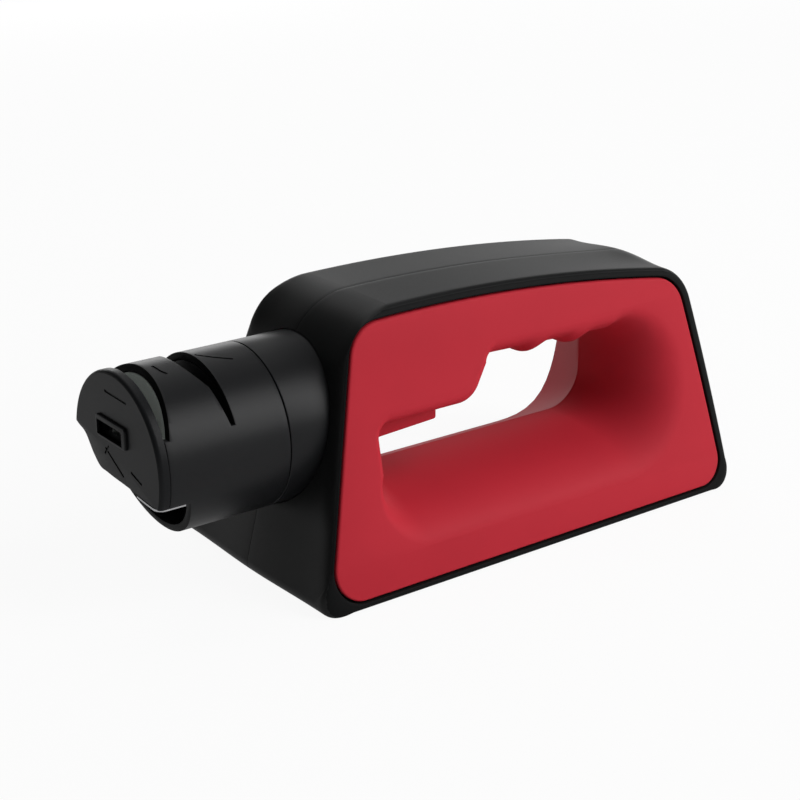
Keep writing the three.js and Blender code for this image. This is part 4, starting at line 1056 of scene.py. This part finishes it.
def blade_guide(name, low, high, shares):
    """A disc inside the head from x = low to high, cut by its slot and by the wheel's room."""
    profile = [(low, 0), (low, spigot_radius), (high, spigot_radius), (high, 0)]
    disc = turned(name, profile, segments=128)
    below = block(
        "below",
        (low - OVERRUN, -HEAD_RADIUS, AXIS_Z - HEAD_RADIUS),
        (high + OVERRUN, HEAD_RADIUS, AXIS_Z + SLOT_TIP_Z - WALL),
    )
    cut(disc, below, slot_cut(shares), wheel_room())
    return rounded_edges(disc, width=0.25, segments=2, angle=50)


left_start = SEAM_X - HEAD_LENGTH * SLOT_ONE["tip"]
right_start = SEAM_X - HEAD_LENGTH * SLOT_TWO["top"] - WALL
left_end = left_start + GUIDE_DEPTH
right_end = right_start + GUIDE_DEPTH + WALL
left_guide = blade_guide("blade_guide_left_fine", left_start - GAP, left_end, SLOT_ONE)
dress(left_guide, "head", guide_grey, "blade_guide_left", slot="head")
right_guide = blade_guide("blade_guide_right_fine", right_start, right_end, SLOT_TWO)
dress(right_guide, "head", head_black, "blade_guide_right", slot="head")


# Scissor guide


def scissor_plate():
    """A thin plate bent along the nose's lower edge, with one round corner."""
    left = CAP_FACE_X - PLATE["ahead"]
    right = jaw_x(-HEAD_RADIUS * PLATE["jaw"]) - PLATE["room"]
    outer, inner = -HEAD_RADIUS * PLATE["outer"], -HEAD_RADIUS * PLATE["inner"]
    radius = PLATE_CORNER["radius"]
    plan = [(right, outer), (right, inner), (left, inner)]
    for a in np.linspace(math.pi, math.pi * 1.5, PLATE_CORNER["steps"]):
        plan.append((left + radius + radius * math.cos(a), outer + radius + radius * math.sin(a)))
    outline = []
    for start, end in zip(plan, plan[1:] + plan[:1]):
        count = PLATE_PARTS if math.dist(start, end) > radius else 1
        outline += [between(start, end, k / count) for k in range(count)]
    ys = np.array([p[0] for p in nose_curve])
    zs = np.array([p[1] for p in nose_curve])
    points = []
    for drop in (GAP, GAP + PLATE["thick"]):
        points += [(x, y, AXIS_Z + np.interp(y, ys, zs) - drop) for x, y in outline]
    count = len(outline)
    flat = [Vector((x, y, 0)) for x, y in outline]
    faces = [(i, (i + 1) % count, count + (i + 1) % count, count + i) for i in range(count)]
    for a, b, c in tessellate_polygon([flat]):
        faces.append((a, b, c))
        faces.append((count + a, count + c, count + b))
    return new_object("scissor_guide_fine", points, faces)


dress(scissor_plate(), "head", steel, "scissor_guide", angle=60)

# Wheel
wheel = turned(
    "grinding_wheel_fine",
    softened(
        [
            (WHEEL_LEFT - WHEEL["bevel"], WHEEL["bore"]),
            (WHEEL_LEFT - WHEEL["bevel"], WHEEL["face_radius"]),
            (WHEEL_LEFT, WHEEL["radius"]),
            (WHEEL_RIGHT, WHEEL["radius"]),
            (WHEEL_RIGHT + WHEEL["bevel"], WHEEL["face_radius"]),
            (WHEEL_RIGHT + WHEEL["bevel"], WHEEL["bore"]),
        ],
        radius=0.5,
    ),
)
dress(wheel, "wheel", grit, "grinding_wheel", slot="grit")

# Trigger: the pad, its hub on the left and the flange that stops it in its window
trigger = prism(
    "trigger_fine",
    [
        (TRIGGER["left"], TRIGGER["heel"]),
        (TRIGGER["right"], TRIGGER["toe"]),
        (TRIGGER["right"], TRIGGER_TOP["flange_under"]),
        (TRIGGER_TOP["flange_right"], TRIGGER_TOP["flange_under"]),
        (TRIGGER_TOP["flange_right"], TRIGGER_TOP["pad"]),
        (TRIGGER_TOP["hub_right"], TRIGGER_TOP["pad"]),
        (TRIGGER_TOP["hub_right"], TRIGGER_TOP["hub"]),
        (TRIGGER["left"], TRIGGER_TOP["hub"]),
    ],
    -TRIGGER["half"],
    TRIGGER["half"],
    "y",
)
rounded_edges(trigger, width=1.0, segments=4)
dress(trigger, "trigger", grip_red, "trigger", slot="trigger")

# Feet: rubber pads with a rounded tread and one ring groove
groove_in, groove_out = TREAD["groove"]
tread = softened(
    [
        (0, 0),
        (0, groove_in),
        (TREAD["depth"], groove_in + TREAD["slope"]),
        (TREAD["depth"], groove_out - TREAD["slope"]),
        (0, groove_out),
        (0, FOOT["radius"]),
        (FOOT["top"], FOOT["radius"]),
        (FOOT["top"], 0),
    ],
    radius=0.3,
    steps=3,
)
for y, row in ((-FOOT["y"], "front"), (FOOT["y"], "rear")):
    for x, end in ((-FOOT["x"], "left"), (FOOT["x"], "right")):
        pad = upright(f"foot_{row}_{end}_fine", x, y, tread, segments=64)
        dress(pad, "housing", rubber, f"foot_{row}_{end}", slot="rubber", angle=50)

# Battery door with side tongues and a ribbed finger grip
door_top = BASE_Z + DOOR["thickness"]
door = block(
    "battery_door_fine",
    (DOOR["left"], -DOOR["half"], BASE_Z),
    (DOOR["right"], DOOR["half"], door_top),
)
rounded_edges(door, width=0.35)
grip_half_width, rib = DOOR_GRIP["half"], DOOR_GRIP["width"] / 2
for i in range(DOOR_GRIP["count"]):
    x = DOOR_GRIP["x"] - i * DOOR_GRIP["pitch"]
    groove_low = (x - rib, -grip_half_width, 0)
    groove_high = (x + rib, grip_half_width, BASE_Z + DOOR_GRIP["depth"])
    cut(door, rounded_edges(block("groove", groove_low, groove_high), width=0.3))
wide = DOOR["half"] + TONGUE["width"]
tongues = block(
    "tongues",
    (DOOR["left"] + TONGUE["inset"], -wide, BASE_Z + TONGUE["under"]),
    (DOOR["right"] - TONGUE["inset"], wide, door_top),
)
join(door, tongues)
dress(door, "door", shell_black, "battery_door", slot="shell")

# Return spring, which the trigger presses together
spring_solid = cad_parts["trigger_spring"]
spring = bpy.data.objects.new("trigger_spring_fine", spring_solid.data.copy())
spring.matrix_world = spring_solid.matrix_world
bpy.context.scene.collection.objects.link(spring)
dress(spring, "housing", steel, "trigger_spring", slot="steel")
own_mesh(spring)

# Finishes of the solids that stay
cells = [f"cell_{number}" for number in range(1, 5)]
case_screws = [f"case_screw_{number}" for number in range(1, 5)]
for material, names in (
    (inner_plastic, ["wheel_hub", "motor_end_bell", "switch_bracket", "switch_plunger", "battery_box"]),
    (steel, ["shaft_nut", "motor_rotor", "motor_screw_front", "motor_screw_rear", "trigger_pin"]),
    (steel, ["contact_front", "contact_rear", "contact_bridge", *case_screws]),
    (zinc, ["motor_can"]),
    (magnet_grey, ["magnet_rear", "magnet_front"]),
    (switch_black, ["switch_body"]),
    (cell_wrap, cells),
    (wire_red, ["wire_supply", "wire_switched"]),
    (wire_black, ["wire_return"]),
):
    for name in names:
        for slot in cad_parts[name].material_slots:
            slot.material = material


# Floor, light and camera


def floor_material():
    """White to the camera and softer in reflections, with a share of plain paint for the shadow."""
    material = bpy.data.materials.new("floor_white")
    material.use_nodes = True
    tree = material.node_tree
    tree.nodes.clear()
    out = node(tree, "ShaderNodeOutputMaterial")
    paint = node(tree, "ShaderNodeBsdfDiffuse", Color=(0.86, 0.86, 0.86, 1))
    glow = node(tree, "ShaderNodeEmission", Color=(1, 1, 1, 1), Strength=1.0)
    rays = node(tree, "ShaderNodeLightPath")
    seen = node(tree, "ShaderNodeMath", operation="MAXIMUM")
    also = node(tree, "ShaderNodeMath", operation="MAXIMUM")
    softer = node(tree, "ShaderNodeMath", operation="MULTIPLY")
    softer.inputs[1].default_value = FLOOR_IN_GLOSS
    share = node(tree, "ShaderNodeMath", operation="MULTIPLY")
    share.inputs[1].default_value = FLOOR_WHITE
    mix = node(tree, "ShaderNodeMixShader")
    link = tree.links.new
    link(rays.outputs["Is Camera Ray"], seen.inputs[0])
    link(rays.outputs["Is Glossy Ray"], softer.inputs[0])
    link(softer.outputs[0], seen.inputs[1])
    link(seen.outputs[0], also.inputs[0])
    link(rays.outputs["Is Transmission Ray"], also.inputs[1])
    link(also.outputs[0], share.inputs[0])
    link(share.outputs[0], mix.inputs[0])
    link(paint.outputs[0], mix.inputs[1])
    link(glow.outputs[0], mix.inputs[2])
    link(mix.outputs[0], out.inputs["Surface"])
    return material


floor_mesh = bpy.data.meshes.new("floor")
floor_corners = [(x * FLOOR_HALF, y * FLOOR_HALF, 0) for x, y in ((-1, -1), (1, -1), (1, 1), (-1, 1))]
floor_mesh.from_pydata(floor_corners, [], [(0, 1, 2, 3)])
floor = bpy.data.objects.new("floor", floor_mesh)
bpy.context.scene.collection.objects.link(floor)
floor.data.materials.append(floor_material())


def lamp(name, spot, aim, size, watts):
    light = bpy.data.lights.new(name, "AREA")
    light.shape = "RECTANGLE"
    light.size, light.size_y = size
    light.energy = watts
    obj = bpy.data.objects.new(name, light)
    obj.location = spot
    obj.rotation_euler = (Vector(aim) - Vector(spot)).to_track_quat("-Z", "Y").to_euler()
    bpy.context.scene.collection.objects.link(obj)


# Place, aim and size in metres, power in watts
middle = (0, 0, 0.05)
lamp("key", (1.08, -1.42, 0.8), middle, (1.2, 0.9), 17.6)
lamp("key_high", (0.75, -1.23, 1.5), middle, (0.9, 0.9), 14)
lamp("side", (1.2, -0.2, 0.45), middle, (0.5, 0.5), 1.8)
lamp("top", (0.1, 0.25, 1.3), middle, (0.9, 0.9), 2.5)
lamp("back_top", (0.3, 0.8, 1.0), middle, (0.6, 0.6), 1.4)
lamp("card", (0.95, 1.15, 0.28), middle, (1.4, 0.5), 2.4)
lamp("card_mid", (0.4, 1.4, 0.3), middle, (0.8, 0.5), 1.9)

world = bpy.data.worlds.new("studio")
bpy.context.scene.world = world
world.use_nodes = True
world.node_tree.nodes["Background"].inputs["Color"].default_value = (1, 1, 1, 1)
world.node_tree.nodes["Background"].inputs["Strength"].default_value = 0.09

# The camera was solved from the outlines of the housing and the head
camera = bpy.data.objects.new("camera", bpy.data.cameras.new("camera"))
camera.data.sensor_width = 36
camera.data.lens = 77.65
camera.data.clip_start = 0.01
camera.location = (-0.3455, -0.4516, 0.2595)
camera.rotation_euler = (math.radians(90 - 20.47), 0, math.radians(-36.9))
bpy.context.scene.collection.objects.link(camera)
bpy.context.scene.camera = camera
bpy.context.scene.view_settings.view_transform = "Standard"
